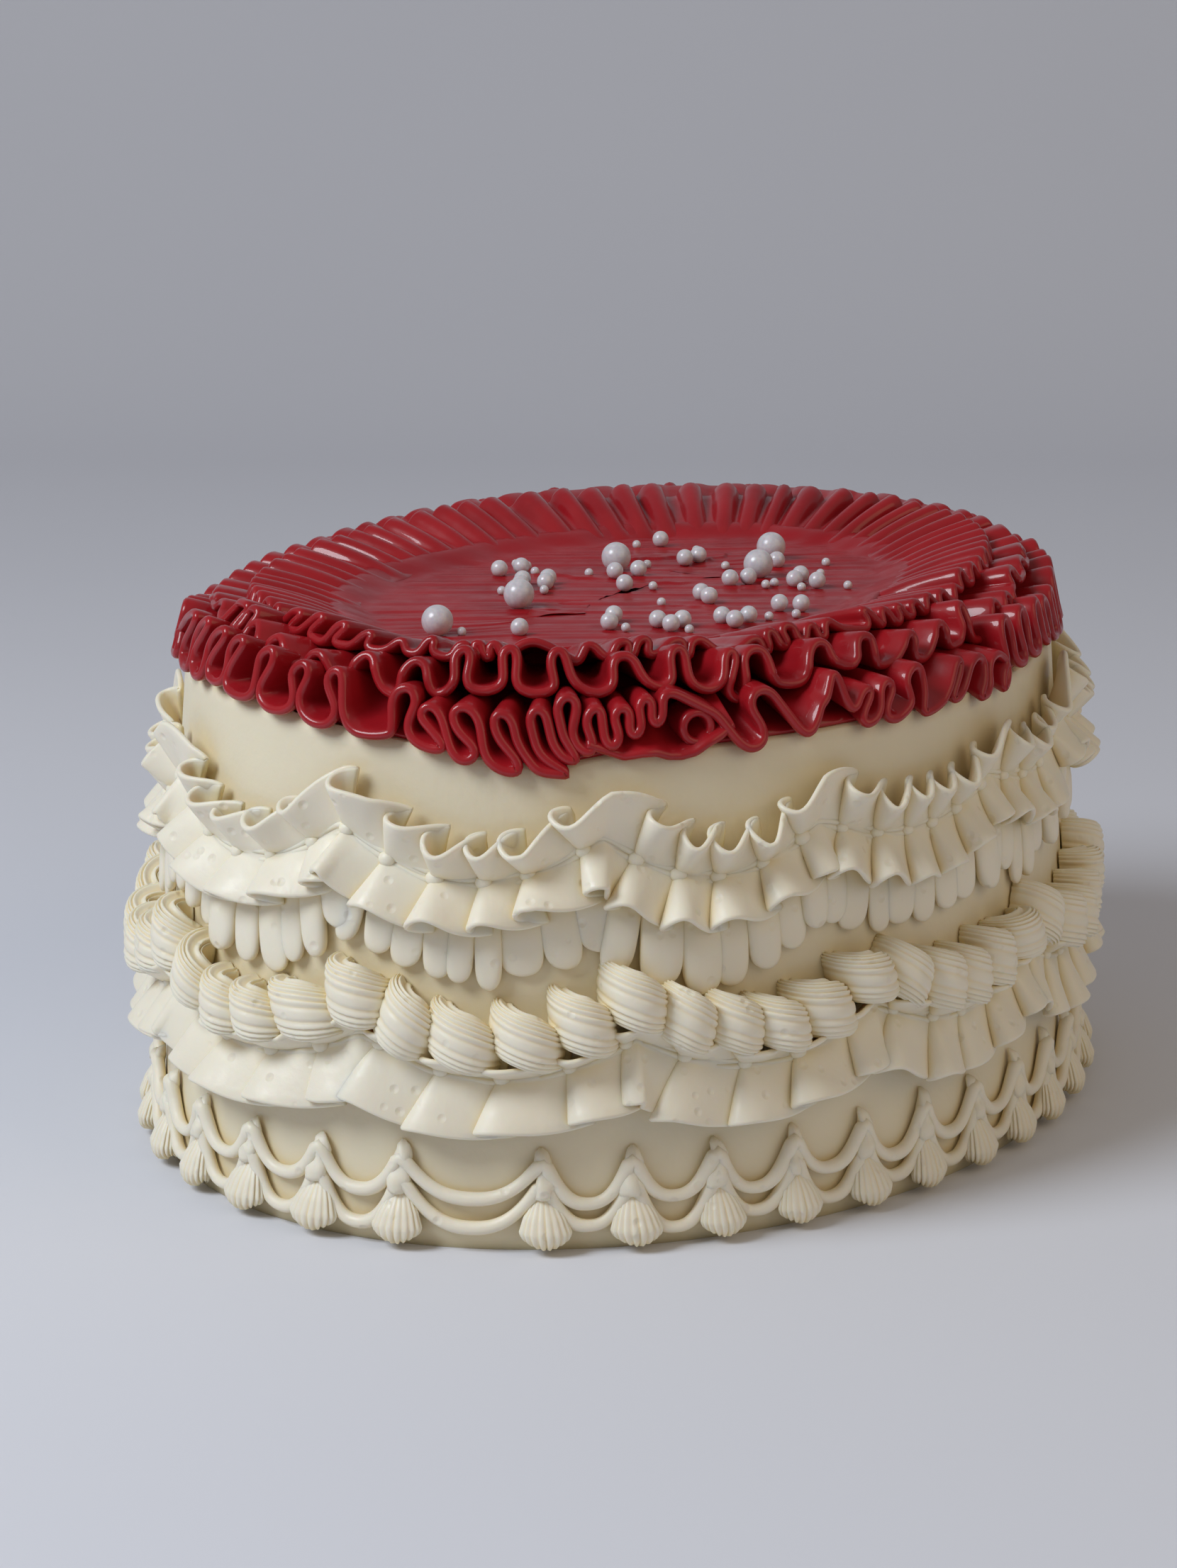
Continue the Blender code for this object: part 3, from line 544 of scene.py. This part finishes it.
def make_pool(material):
    arc = np.linspace(0, ROUND, 500, endpoint=False)[:, None]
    inset = np.linspace(27.5, 89, 120)[None, :] * MM
    flat = place(arc, -inset, 0 * arc)
    across = -flat[..., 0] * math.sin(STREAK_TURN) + flat[..., 1] * math.cos(STREAK_TURN)
    along = flat[..., 0] * math.cos(STREAK_TURN) + flat[..., 1] * math.sin(STREAK_TURN)
    wave = sum(size * np.sin(2 * np.pi * across / (pitch * MM) + phase
                             + 1.5 * np.sin(along / (26 * MM) + phase)) for pitch, size, phase in STREAKS)
    angle = angle_at(arc)
    edge = 41.5 * MM + 1.1 * MM * np.sin(5 * angle + 1) + 0.8 * MM * np.sin(13 * angle)
    edge = edge + 0.5 * MM * np.sin(29 * angle + 2)
    rim = ease((edge - inset) / (10.5 * MM))
    wave = wave + sum(smear(flat, *stroke) for stroke in SMEARS)
    inside = (1 - rim) * ease((inset - 37.5 * MM) / (6 * MM))
    height = POOL_TOP - 0.5 * MM + 0.55 * wave * MM * inside + 2.7 * MM * rim
    height = height - 1.4 * np.maximum(edge - 10.5 * MM - inset, 0)
    top = place(arc, -inset, height)
    shape = Shape()
    rows, columns = top.shape[:2]
    faces = grid_quads(rows, columns, True, False)
    shape.add(top, faces, 0.0)
    under = place(arc[:, 0], -POOL_INSET, POOL_TOP - 2 * MM)
    shape.add(under, [list(range(shape.count, shape.count + rows))], 0.0)
    shape.piece("red_pool", material, ["red_top"])


def free_place(draw, x, y, spread, radius, taken):
    """A random place near a cluster's middle, clear of the pearls so far."""
    while True:
        spot = (x + draw.gauss(0, spread / 2), y + draw.gauss(0, spread / 2))
        clear = all(math.hypot(spot[0] - p[0], spot[1] - p[1]) > radius + p[2] + GAP for p in taken)
        limit = POOL_INSET + radius + 3 * MM - SIDE_LEAN * (MEASURED_AT - POOL_TOP)
        inside = math.hypot(spot[0] / (HALF_LENGTH - limit), spot[1] / (HALF_WIDTH - limit)) < 1
        if clear and inside:
            return (spot[0], spot[1], radius)


def pearl_places():
    """Centres and radii of the pearls, the largest first."""
    draw = random.Random(11)
    pearls = [(x * MM, y * MM, BIG_PEARL) for x, y in BIG_PLACES]
    for x, y, count in CLUSTERS:
        for _ in range(count):
            pearls.append(free_place(draw, x * MM, y * MM, CLUSTER_SPREAD, MEDIUM_PEARL, pearls))
    for i in range(SMALL_PEARLS):
        x, y, _ = CLUSTERS[i % len(CLUSTERS)]
        pearls.append(free_place(draw, x * MM, y * MM, SCATTER_SPREAD, SMALL_PEARL, pearls))
    return pearls


def make_pearls(name, radius, rings, material):
    """All pearls of one size."""
    shape = Shape()
    down = np.linspace(0, math.pi, rings)[1:-1, None]
    turn = np.linspace(0, 2 * math.pi, 2 * rings, endpoint=False)[None, :]
    ball = np.stack(np.broadcast_arrays(
        np.sin(down) * np.cos(turn), np.sin(down) * np.sin(turn), np.cos(down)), axis=-1)
    for x, y, size in pearl_places():
        if size == radius:
            shape.add_loft(ball * radius + [x, y, POOL_TOP + radius - PEARL_SINK])
    shape.piece(name, material, ["red_top"])


# Cream side

def swag(arc, points):
    """Height of a line that hangs between high points, sharp at them and round below."""
    at, high, low = (np.array(column) * MM for column in zip(*points))
    number = np.searchsorted(at, np.mod(arc, ROUND), side="right") - 1
    following = (number + 1) % len(points)
    width = np.mod(at[following] - at[number], ROUND)
    share = 2 * np.mod(arc - at[number], ROUND) / width - 1
    return mix(low[number], np.where(share < 0, high[number], high[following]), share ** 2)


def upper_line(arc):
    return swag(arc, UPPER_POINTS)


def shell_line(arc):
    step = ROUND / SHELL_SWAGS
    return swag(arc, [((SHELL_SHIFT + k * step) / MM, SHELL_HIGH / MM, SHELL_LOW / MM)
                      for k in range(SHELL_SWAGS)])


def slope(line, arc):
    """Lean of a hanging line, from its rise over a few millimetres."""
    reach = 4 * MM
    return np.arctan((line(arc + reach) - line(arc - reach)) / (2 * reach))


def near_high_point(ruffle, arc):
    """1 just after the high points of the upper ruffle's line, where a taller pleat begins
    each swag, and 0 further off."""
    if ruffle.line is not upper_line:
        return 0 * arc
    gaps = [np.mod(arc - at * MM + ROUND / 2, ROUND) - ROUND / 2 - 3 * MM for at, _, _ in UPPER_POINTS]
    return sum(np.exp(-(gap / (5 * MM)) ** 2) for gap in gaps)


Ruffle = namedtuple("Ruffle", "name line drop up down pleats depth seed")

# One pleat seen from above: share of the ribbon, then how far along and how far out its hem lies.
# Each is a round roll open to the left, then a flat panel that runs in behind the next roll
PLEAT = ((0.0, 0.42, 0.0), (0.07, 0.28, 0.08), (0.15, 0.08, 0.15), (0.23, -0.12, 0.28), (0.31, -0.20, 0.58),
         (0.40, -0.07, 0.90), (0.49, 0.16, 1.0), (0.58, 0.37, 0.92), (0.72, 0.68, 0.64), (0.86, 1.0, 0.30),
         (0.94, 1.22, 0.06), (1.0, 1.42, 0.0))

# The same pleat at the crease, where the roll is pinched to a point
GATHER = ((0.0, 0.16), (0.48, 0.16), (1.0, 1.16))

RUFFLES = (
    Ruffle("upper_ruffle", upper_line, 0.0, 10.5 * MM, 10.6 * MM, 68, 8.6 * MM, 41),
    Ruffle("lower_ruffle", shell_line, 8.6 * MM, 6.0 * MM, 12.6 * MM, 58, 7.6 * MM, 42),
)


def ruffle_line(ruffle):
    """The pleated hem: distance round, distance out and distance along the crease, with the
    pleats' places."""
    draw = random.Random(ruffle.seed)
    places = uneven_steps(ROUND, ruffle.pleats, 0.2, draw)
    t = np.arange(2 * FOLD_STEPS) / (2 * FOLD_STEPS)
    ribbon, ahead, outward = zip(*PLEAT)
    size = np.array([draw.uniform(0.72, 1.0) for _ in range(ruffle.pleats)])[:, None]
    lean = np.array([draw.uniform(-0.14, 0.1) for _ in range(ruffle.pleats)])[:, None]
    width = np.diff(places)[:, None]
    outward = np.interp(t, ribbon, outward)
    along = places[:-1, None] + width * (np.interp(t, ribbon, ahead) + lean * outward)
    root = places[:-1, None] + width * np.interp(t, *zip(*GATHER))
    line = np.stack([along.ravel(), (size * outward * ruffle.depth).ravel(), root.ravel()], axis=-1)
    ends = np.concatenate((line, line[:1] + [[ROUND, 0, ROUND]]))
    travelled = np.concatenate(([0], np.cumsum(np.linalg.norm(np.diff(ends[:, :2], axis=0), axis=1))))
    wanted = np.arange(0, travelled[-1] - PLEAT_STEP / 2, PLEAT_STEP)
    along, out, root = (np.interp(wanted, travelled, column) for column in ends.T)
    return (smooth_round(along, 1.5), smooth(out, 1.5), smooth_round(root, 1.5)), places


def make_ruffle(ruffle, material):
    """A pleated band, pinched along its crease; its width from crease to hem is the same
    everywhere, so that the lips of the rolls flare."""
    (along, out, root), _ = ruffle_line(ruffle)
    v = np.concatenate((-np.linspace(1, 0, 8), np.linspace(0, 1, 8)[1:]))[None, :]
    flare = np.abs(v) ** 0.9 * np.where(v > 0, 0.9, 1.0)
    ahead = (along - root)[:, None]
    out = out[:, None]
    width = np.where(v > 0, ruffle.up, ruffle.down) * (1 + 0.07 * np.sin(root[:, None] / (9 * MM)))
    width = width * (1 + 0.22 * np.where(v > 0, 1, 0) * near_high_point(ruffle, root)[:, None])
    spread = np.minimum(np.hypot(0.8 * ahead, 1.1 * out) / width, 0.84)
    lean = slope(ruffle.line, root)[:, None]
    reach = v * width * np.sqrt(1 - spread ** 2)
    arc = root[:, None] + ahead * flare - reach * np.sin(lean) * 0.8
    up = ruffle.line(root)[:, None] - ruffle.drop + reach * np.cos(lean)
    base = 1.7 * MM + 0.6 * MM * np.abs(v)
    shape = Shape()
    band = sheet(place(arc, base + out * flare, up), 1.25 * MM)
    # Depth for the painted warm shade: 1 where the sheet lies in against the cake at the back of a pleat, 0
    # at the fronts of the rolls
    depth = np.clip(1 - out / (0.4 * ruffle.depth), 0, 1) ** 2
    shape.add_ring(band, np.repeat(depth, band.shape[1], axis=1))
    shape.piece(ruffle.name + "_sheet", material, [ruffle.name])


def add_tube(shape, arc, out, up, radius, sides=8):
    """A closed round string along a loop of places."""
    turn = np.linspace(0, 2 * np.pi, sides, endpoint=False)[None, :]
    rise = np.roll(up, -1) - np.roll(up, 1)
    run = np.mod(np.roll(arc, -1) - np.roll(arc, 1), ROUND)
    length = np.hypot(rise, run)
    side = radius[:, None] * np.sin(turn)
    shape.add_ring(place(arc[:, None] - (rise / length)[:, None] * side,
                         out[:, None] + radius[:, None] * np.cos(turn),
                         up[:, None] + (run / length)[:, None] * side))


def add_blob(shape, arc, out, up, size):
    """A small rounded lump of icing; size is half its width, thickness and height."""
    down = np.linspace(0, math.pi, 8)[1:-1, None]
    turn = np.linspace(0, 2 * math.pi, 12, endpoint=False)[None, :]
    shape.add_loft(place(arc + size[0] * np.sin(down) * np.cos(turn),
                         out + size[1] * np.sin(down) * np.sin(turn),
                         up + size[2] * np.cos(down) + 0 * turn))


def make_crease(ruffle, material):
    """The line that pins the pleats down: two faint ridges with a knot on each pleat."""
    _, places = ruffle_line(ruffle)
    draw = random.Random(ruffle.seed + 100)
    arc = np.arange(1100) / 1100 * ROUND
    shape = Shape()
    for lift, phase in ((0.8, 0.0), (-0.8, 2.2)):
        wander = 0.25 * MM * np.sin(arc / (3.1 * MM) + phase) + 0.2 * MM * np.sin(arc / (7.7 * MM))
        up = smooth(ruffle.line(arc), 3.0) - ruffle.drop + lift * MM + wander
        add_tube(shape, arc, np.full_like(arc, 1.95 * MM), up, np.full_like(arc, 0.85 * MM), 8)
    for at, following in zip(places[:-1], places[1:]):
        size = np.array([1.9, 1.5, 1.7]) * draw.uniform(0.8, 1.1) * MM
        middle = mix(at, following, GATHER[0][1])
        add_blob(shape, middle, 2.5 * MM, float(ruffle.line(np.array(middle))) - ruffle.drop, size)
    shape.piece(ruffle.name + "_crease", material, [ruffle.name])


def make_petals(material):
    """Flat fingers with rounded tips, side by side, that hang below the upper ruffle."""
    draw = random.Random(32)
    shape = Shape()
    places = uneven_steps(ROUND, PETALS, 0.26, draw)
    turn = np.linspace(0, 2 * np.pi, 22, endpoint=False)
    side = squared(np.cos(turn), 0.75)
    face = squared(np.sin(turn), 0.8)
    v = np.sin(np.linspace(0, math.pi / 2, 15)) ** 0.9
    body = np.maximum(np.maximum(1 - v ** 9, 0.0) ** 0.5, 0.04)
    for start, end in zip(places[:-1], places[1:]):
        middle, half = (start + end) / 2, (end - start) / 2 * 1.16
        length = (17.2 + draw.uniform(-3.6, 1.6)) * MM
        proud = draw.uniform(1.0, 2.0) * MM
        lean = float(slope(upper_line, np.array(middle))) * 0.3 + draw.uniform(-0.07, 0.07)
        top = float(upper_line(np.array(middle))) - 6.5 * MM
        rings = []
        for share, width in zip(v, body):
            arc = middle + side * half * width + share * length * math.sin(lean)
            out = 0.2 * MM + proud * mix(0.7, 1.0, ease(share / 0.5)) * (1 + face * (0.3 + 0.7 * width))
            rings.append(place(arc, out, np.full_like(arc, top - share * length)))
        # Depth for the painted warm shade: 0.8 at the top under the upper ruffle, fading to 0 at the tip
        shape.add_loft(np.stack(rings), np.repeat(0.8 * (1 - v), len(turn)))
    shape.piece("petal_fingers", material, ["petal_row"])


def make_shells(material):
    """Ridged shells: each is a short stroke of a star nozzle that bulges out from the side
    and comes back to it, with the next beside it."""
    draw = random.Random(33)
    shape = Shape()
    places = uneven_steps(ROUND, SHELLS, 0.16, draw)
    turn = np.concatenate((np.linspace(-0.62, 0.62, 84), np.linspace(0.68, 1.32, 8))) * math.pi
    ridge = np.abs(np.cos(turn * 11)) ** 0.7
    height = squared(np.sin(turn), 0.66)
    thick = squared(np.cos(turn), 0.5)
    v = np.linspace(0, 1, 17)
    for start, end in zip(places[:-1], places[1:]):
        middle, half = (start + end) / 2, (end - start) / 2
        size = draw.uniform(0.88, 1.08)
        tilt = 0.65 * float(slope(shell_line, np.array(middle))) + draw.uniform(-0.2, 0.14)
        line = float(shell_line(np.array(middle))) + draw.uniform(-0.6, 0.6) * MM
        proud = draw.uniform(6.4, 7.9) * MM
        sweep = draw.uniform(2.6, 4.6) * MM
        rings = []
        for share in v:
            bend = mix(-1.75, 1.75, share)
            swell = mix(0.9, 1.0, ease(share / 0.3))
            tall = 6.0 * MM * size * swell * mix(1.0, 0.6, ease((share - 0.5) / 0.5))
            stout = 3.3 * MM * swell * mix(1.0, 0.7, ease((share - 0.55) / 0.45))
            grown = 1 + mix(0.12, 0.24, share) * (ridge - 0.75)
            reach = stout * thick * grown
            across = half * 0.85 * math.sin(bend) + reach * math.sin(bend)
            out = np.maximum(0.25 * MM, proud * math.cos(bend) + reach * math.cos(bend))
            up = tall * height * grown + sweep * (0.35 - share ** 1.8) - 1.2 * MM * math.sin(bend) * thick
            rings.append(place(middle + across * math.cos(tilt) - up * math.sin(tilt), out,
                               line + across * math.sin(tilt) + up * math.cos(tilt)))
        # Depth for the painted warm shade: 1 in the grooves between the ridges, 0 on the ridges
        groove_shade = np.broadcast_to(1 - ridge, (len(v), len(turn)))
        shape.add_loft(np.stack(rings), groove_shade)
    shape.piece("garland_shells", material, ["shell_garland"])


def scallop(number):
    """Where a scallop of the strings starts, and its width; the last one is wider."""
    step = ROUND / (SCALLOPS - 1 + WIDE_SCALLOP)
    return STRING_START + step * number, step * (WIDE_SCALLOP if number == SCALLOPS - 1 else 1)


def make_string(name, node, heights, seed, material):
    """A piped string that hangs in scallops, a little uneven, thicker where it is pinned."""
    draw = random.Random(seed)
    high, low = heights
    steps = 26
    arcs, ups, radii, outs = [], [], [], []
    for number in range(SCALLOPS):
        start, width = scallop(number)
        sag = draw.uniform(-0.9, 0.9) * MM
        for t in np.arange(steps) / steps:
            pinned = abs(2 * t - 1) ** 8
            arcs.append(start + t * width)
            ups.append(mix(low + sag, high, abs(2 * t - 1) ** 2.5))
            radii.append((1.4 + 0.12 * math.sin(7 * t + number) + 0.25 * pinned) * MM)
            outs.append((1.55 + 1.0 * pinned) * MM)
    ups, radii, outs = (smooth(np.array(column), 0.9) for column in (ups, radii, outs))
    shape = Shape()
    add_tube(shape, np.array(arcs), outs, ups, radii, 12)
    shape.piece(name, material, [node])


def make_string_knobs(material):
    """One lump where both strings are pinned, tapered upwards, above each fan."""
    draw = random.Random(37)
    shape = Shape()
    turn = np.linspace(0, 2 * np.pi, 16, endpoint=False)
    v = np.linspace(0, 1, 14)
    width = np.interp(v, (0, 0.08, 0.3, 0.5, 0.7, 0.92, 1), (0.15, 0.55, 0.8, 0.72, 1.0, 0.95, 0.5))
    for number in range(SCALLOPS):
        middle, _ = scallop(number)
        half, twist = draw.uniform(1.9, 2.5) * MM, draw.uniform(-1.3, 1.3)
        top = draw.uniform(21.6, 23.2) * MM
        rings = []
        for share, size in zip(v, width):
            wander = 0.5 * MM * math.sin(5 * share + twist)
            lumpy = 1 + 0.14 * np.sin(3 * turn + 9 * share + 4 * twist)
            rings.append(place(middle + wander + half * size * lumpy * np.cos(turn),
                               0.3 * MM + 1.9 * MM * size * (1 + lumpy * np.sin(turn)),
                               np.full_like(turn, mix(top, 11.5 * MM, share))))
        shape.add_loft(np.stack(rings), 0.0)
    shape.piece("string_knobs", material, ["upper_string", "lower_string"])


def make_base_shells(material):
    """Ridged fans under the high points of the strings."""
    draw = random.Random(35)
    shape = Shape()
    turn = np.linspace(0, 2 * np.pi, 96, endpoint=False)
    ridge = np.abs(np.cos(turn * 9)) ** 0.7
    v = np.linspace(0, 1, 18)
    width = np.interp(v, (0, 0.12, 0.4, 0.66, 0.86, 0.95, 1.0), (0.2, 0.42, 0.8, 1.0, 0.9, 0.7, 0.3))
    for number in range(SCALLOPS):
        middle, _ = scallop(number)
        half = draw.uniform(4.5, 5.3) * MM
        twist = draw.uniform(-1.2, 1.2) * MM
        rings = []
        for share, size in zip(v, width):
            grown = size * (1 + mix(0.08, 0.2, share) * (ridge - 0.75))
            arc = middle + half * grown * np.cos(turn) + twist * share
            out = 0.4 * MM + 2.7 * MM * (size + grown * np.sin(turn))
            foot = ease((share - 0.6) / 0.4) * (1.5 * MM * np.cos(turn) ** 2 + 0.7 * MM * (1 - ridge))
            rings.append(place(arc, out, np.full_like(arc, mix(13.5, 0.9, share) * MM) + foot))
        # Depth for the painted warm shade: 1 in the grooves between the ridges, 0 on the ridges
        shape.add_loft(np.stack(rings), np.broadcast_to(1 - ridge, (len(v), len(turn))))
    nodes = [f"base_shell_{number + 1:02d}" for number in range(SCALLOPS)]
    shape.piece("base_fans", material, nodes)


def make_body(material):
    """The smooth side, drawn in under the frills."""
    arc = np.linspace(0, ROUND, 420, endpoint=False)[:, None]
    low = hem(angle_at(arc))
    levels = np.linspace(0, 1, 28)[None, :]
    bend = 0.25 * MM * np.sin(3 * 2 * np.pi * arc / ROUND + 2.0) * np.sin(np.pi * levels)
    side = place(arc, bend - 0.9 * MM * (1 - levels) ** 14, levels * (low + 0.2 * MM))
    angle = angle_at(arc)
    inner = [place(arc, -inset * MM, shoulder(angle, inset * MM) - 0.9 * MM) for inset in (1.0, 5.0, 17.8)]
    inner += [place(arc, -27 * MM, 114 * MM + 0 * low), place(arc, -40 * MM, 115 * MM + 0 * low)]
    grid = np.concatenate([side, *inner], axis=1)
    shape = Shape()
    rows, columns = grid.shape[:2]
    shape.add(grid, grid_quads(rows, columns, True, False), 0.0)
    shape.faces.append([k * columns for k in range(rows)])
    shape.faces.append([k * columns + columns - 1 for k in range(rows)])
    shape.piece("smooth_side", material, ["cake_body"])


# Materials

def new_material(name):
    material = bpy.data.materials.new(name)
    material.use_nodes = True
    return material, material.node_tree, material.node_tree.nodes["Principled BSDF"]


def add_node(tree, kind, **values):
    """A new node; values are for its sockets, with a low line in place of a space."""
    node = tree.nodes.new("ShaderNode" + kind)
    set_inputs(node, **values)
    return node


def set_inputs(node, **values):
    for name, value in values.items():
        node.inputs[name.replace("_", " ")].default_value = value


def place_texture(tree, texture, source=None):
    """Lays a texture in object space, or in the given coordinates."""
    source = source or add_node(tree, "TexCoord").outputs["Object"]
    tree.links.new(source, texture.inputs["Vector"])


def noise(tree, scale, detail=3.0, stretch=None):
    """A noise texture, in waves per metre; stretch is a scale on each axis and a turn."""
    texture = add_node(tree, "TexNoise", Scale=scale, Detail=detail)
    if stretch:
        mapping = add_node(tree, "Mapping", Rotation=(0, 0, stretch[1]), Scale=stretch[0])
        place_texture(tree, mapping)
        place_texture(tree, texture, mapping.outputs["Vector"])
    else:
        place_texture(tree, texture)
    return texture.outputs["Fac"]


def ramp(tree, value, low, high, start, end):
    """Runs linearly from low to high while the value goes from start to end."""
    node = add_node(tree, "MapRange", From_Min=start, From_Max=end, To_Min=low, To_Max=high)
    tree.links.new(value, node.inputs["Value"])
    return node.outputs["Result"]


def blend_colour(tree, share, first, second):
    node = add_node(tree, "Mix")
    node.data_type = "RGBA"
    for socket, value in ((node.inputs[6], first), (node.inputs[7], second)):
        if isinstance(value, tuple):
            socket.default_value = (*value, 1.0)
        else:
            tree.links.new(value, socket)
    tree.links.new(share, node.inputs[0])
    return node.outputs[2]


def bump(tree, value, strength, distance, normal=None):
    node = add_node(tree, "Bump", Strength=strength, Distance=distance)
    tree.links.new(value, node.inputs["Height"])
    if normal:
        tree.links.new(normal, node.inputs["Normal"])
    return node.outputs["Normal"]


def hollow_shade_share(tree):
    node = add_node(tree, "Attribute")
    node.attribute_name = "depth"
    return node.outputs["Fac"]


def crevice_shade(tree):
    """Open share of the space round each point: low between folds, where a warm yellow shade is painted
    into the icing's colour.
    """
    node = add_node(tree, "AmbientOcclusion", Distance=0.007)
    node.samples = 4
    return node.outputs["AO"]


def pits(tree, scale, size):
    """Small round air pits scattered in the icing, as a height."""
    texture = add_node(tree, "TexVoronoi", Scale=scale, Randomness=1.0)
    place_texture(tree, texture)
    return ramp(tree, texture.outputs["Distance"], 0.0, 1.0, 0.0, size)


def cream_material(name, pale, shade_yellow, pit_strength):
    material, tree, shader = new_material(name)
    mottle = ramp(tree, noise(tree, 45), 0.0, 1.0, 0.3, 0.7)
    colour = blend_colour(tree, mottle, pale, tuple(0.97 * part for part in pale))
    # Painted warm shade: the colour turns towards the second, yellower colour where the depth attribute
    # marks a hollow
    colour = blend_colour(tree, ramp(tree, hollow_shade_share(tree), 0.0, 0.6, 0.35, 1.1), colour, shade_yellow)
    # Painted warm shade: the colour turns towards the second, yellower colour where ambient occlusion finds
    # a crevice
    colour = blend_colour(tree, ramp(tree, crevice_shade(tree), 0.6, 0.0, 0.15, 0.75), colour, shade_yellow)
    tree.links.new(colour, shader.inputs["Base Color"])
    tree.links.new(ramp(tree, noise(tree, 260), 0.38, 0.56, 0.35, 0.65), shader.inputs["Roughness"])
    set_inputs(shader, Subsurface_Weight=0.25, Subsurface_Radius=(1.0, 0.62, 0.3), Subsurface_Scale=0.0015)
    fine = bump(tree, noise(tree, 520, 4.0), 0.16, 0.0006)
    pitted = bump(tree, pits(tree, 210, 0.22), pit_strength, 0.0007, fine)
    tree.links.new(pitted, shader.inputs["Normal"])
    return material


def red_material(name, streak):
    material, tree, shader = new_material(name)
    mottle = ramp(tree, noise(tree, 70), 0.0, 1.0, 0.3, 0.7)
    colour = blend_colour(tree, mottle, (0.37, 0.010, 0.016), (0.29, 0.007, 0.012))
    tree.links.new(colour, shader.inputs["Base Color"])
    tree.links.new(ramp(tree, noise(tree, 180), 0.28, 0.4, 0.35, 0.65), shader.inputs["Roughness"])
    set_inputs(shader, Specular_IOR_Level=0.16 if streak else 0.2, Coat_Weight=0.12 if streak else 0.5,
               Coat_Roughness=0.05, Subsurface_Weight=0.12, Subsurface_Radius=(1.0, 0.12, 0.1),
               Subsurface_Scale=0.002)
    normal = bump(tree, noise(tree, 300), 0.12, 0.0005)
    if streak:
        lines = noise(tree, 14, 3.0, ((1.0, 9.0, 1.0), -STREAK_TURN))
        normal = bump(tree, lines, 0.12, 0.001, normal)
    tree.links.new(normal, shader.inputs["Normal"])
    return material


def pearl_material():
    material, tree, shader = new_material("pearl_sugar")
    mottle = ramp(tree, noise(tree, 900), 0, 1, 0.35, 0.65)
    colour = blend_colour(tree, mottle, (0.66, 0.64, 0.67), (0.56, 0.54, 0.59))
    tree.links.new(colour, shader.inputs["Base Color"])
    set_inputs(shader, Roughness=0.32, Coat_Weight=0.6, Coat_Roughness=0.2, Sheen_Weight=0.25,
               Subsurface_Weight=0.3, Subsurface_Scale=0.002)
    tree.links.new(bump(tree, noise(tree, 1500), 0.1, 0.0002), shader.inputs["Normal"])
    return material


# Stage

def backdrop_material():
    material, tree, shader = new_material("pale_backdrop")
    colour = blend_colour(tree, noise(tree, 3), (0.71, 0.725, 0.80), (0.74, 0.755, 0.825))
    tree.links.new(colour, shader.inputs["Base Color"])
    set_inputs(shader, Roughness=0.9)
    return material


def make_backdrop():
    """A pale floor that curves up into a wall behind the cake."""
    forward = Vector((-CAMERA_PLACE[0], -CAMERA_PLACE[1], 0)).normalized()
    side = Vector((forward.y, -forward.x, 0))
    profile = [(-2.5, 0.0), (0.9, 0.0)]
    turns = np.linspace(0, math.pi / 2, 17)[1:]
    profile += [(0.9 + 0.5 * math.sin(turn), 0.5 - 0.5 * math.cos(turn)) for turn in turns]
    profile.append((1.4, 3.0))
    points = [forward * ahead + side * s + Vector((0, 0, up)) for ahead, up in profile for s in (-3.0, 3.0)]
    faces = [(2 * k, 2 * k + 1, 2 * k + 3, 2 * k + 2) for k in range(len(profile) - 1)]
    mesh = bpy.data.meshes.new("backdrop")
    mesh.from_pydata([tuple(point) for point in points], [], faces)
    mesh.shade_smooth()
    mesh.materials.append(backdrop_material())
    thing = linked("backdrop", mesh)


def add_light(name, place_at, size, power, colour):
    light = bpy.data.lights.new(name, "AREA")
    light.shape = "DISK"
    light.size = size
    light.energy = power
    light.color = colour
    thing = linked(name, light)
    thing.location = place_at
    aim = Vector(LIT_POINT) - Vector(place_at)
    thing.rotation_euler = aim.to_track_quat("-Z", "Y").to_euler()


def make_stage():
    make_backdrop()
    camera = bpy.data.cameras.new("camera")
    camera.lens = LENS
    camera.sensor_width = SENSOR
    thing = linked("camera", camera)
    thing.location = CAMERA_PLACE
    thing.rotation_euler = (math.radians(CAMERA_TILT), 0, math.radians(CAMERA_TURN))
    bpy.context.scene.camera = thing
    add_light("window", (-0.9, 0.35, 0.95), 0.6, 11.3, (0.87, 0.935, 1.0))
    add_light("fill", (0.1, -1.2, 0.8), 1.2, 3.0, (1.0, 0.78, 0.50))
    world = bpy.data.worlds.new("world")
    world.use_nodes = True
    set_inputs(world.node_tree.nodes["Background"], Color=(1.0, 0.96, 0.92, 1.0), Strength=0.235)
    bpy.context.scene.world = world
    bpy.context.scene.view_settings.view_transform = "Standard"


def main():
    make_stage()
    red = red_material("red_icing_gloss", False)
    # The second colour of each cream is the painted warm yellow shade laid into hollows and crevices
    cream = cream_material("piped_cream", (0.86, 0.80, 0.665), (0.88, 0.69, 0.31), 0.5)
    smooth_cream = cream_material("smooth_cream", (0.80, 0.72, 0.54), (0.84, 0.68, 0.36), 0.0)
    pearl = pearl_material()
    make_body(smooth_cream)
    make_backing(red)
    for frill in FRILLS:
        make_frill(frill, red)
    make_flap(red)
    make_pool(red_material("red_icing_smeared", True))
    make_pearls("pearls_big", BIG_PEARL, 24, pearl)
    make_pearls("pearls_medium", MEDIUM_PEARL, 18, pearl)
    make_pearls("pearls_small", SMALL_PEARL, 12, pearl)
    for ruffle in RUFFLES:
        make_ruffle(ruffle, cream)
        make_crease(ruffle, cream)
    make_petals(cream)
    make_shells(cream)
    make_string("string_upper", "upper_string", UPPER_STRING, 51, cream)
    make_string("string_lower", "lower_string", LOWER_STRING, 52, cream)
    make_string_knobs(cream)
    make_base_shells(cream)


main()
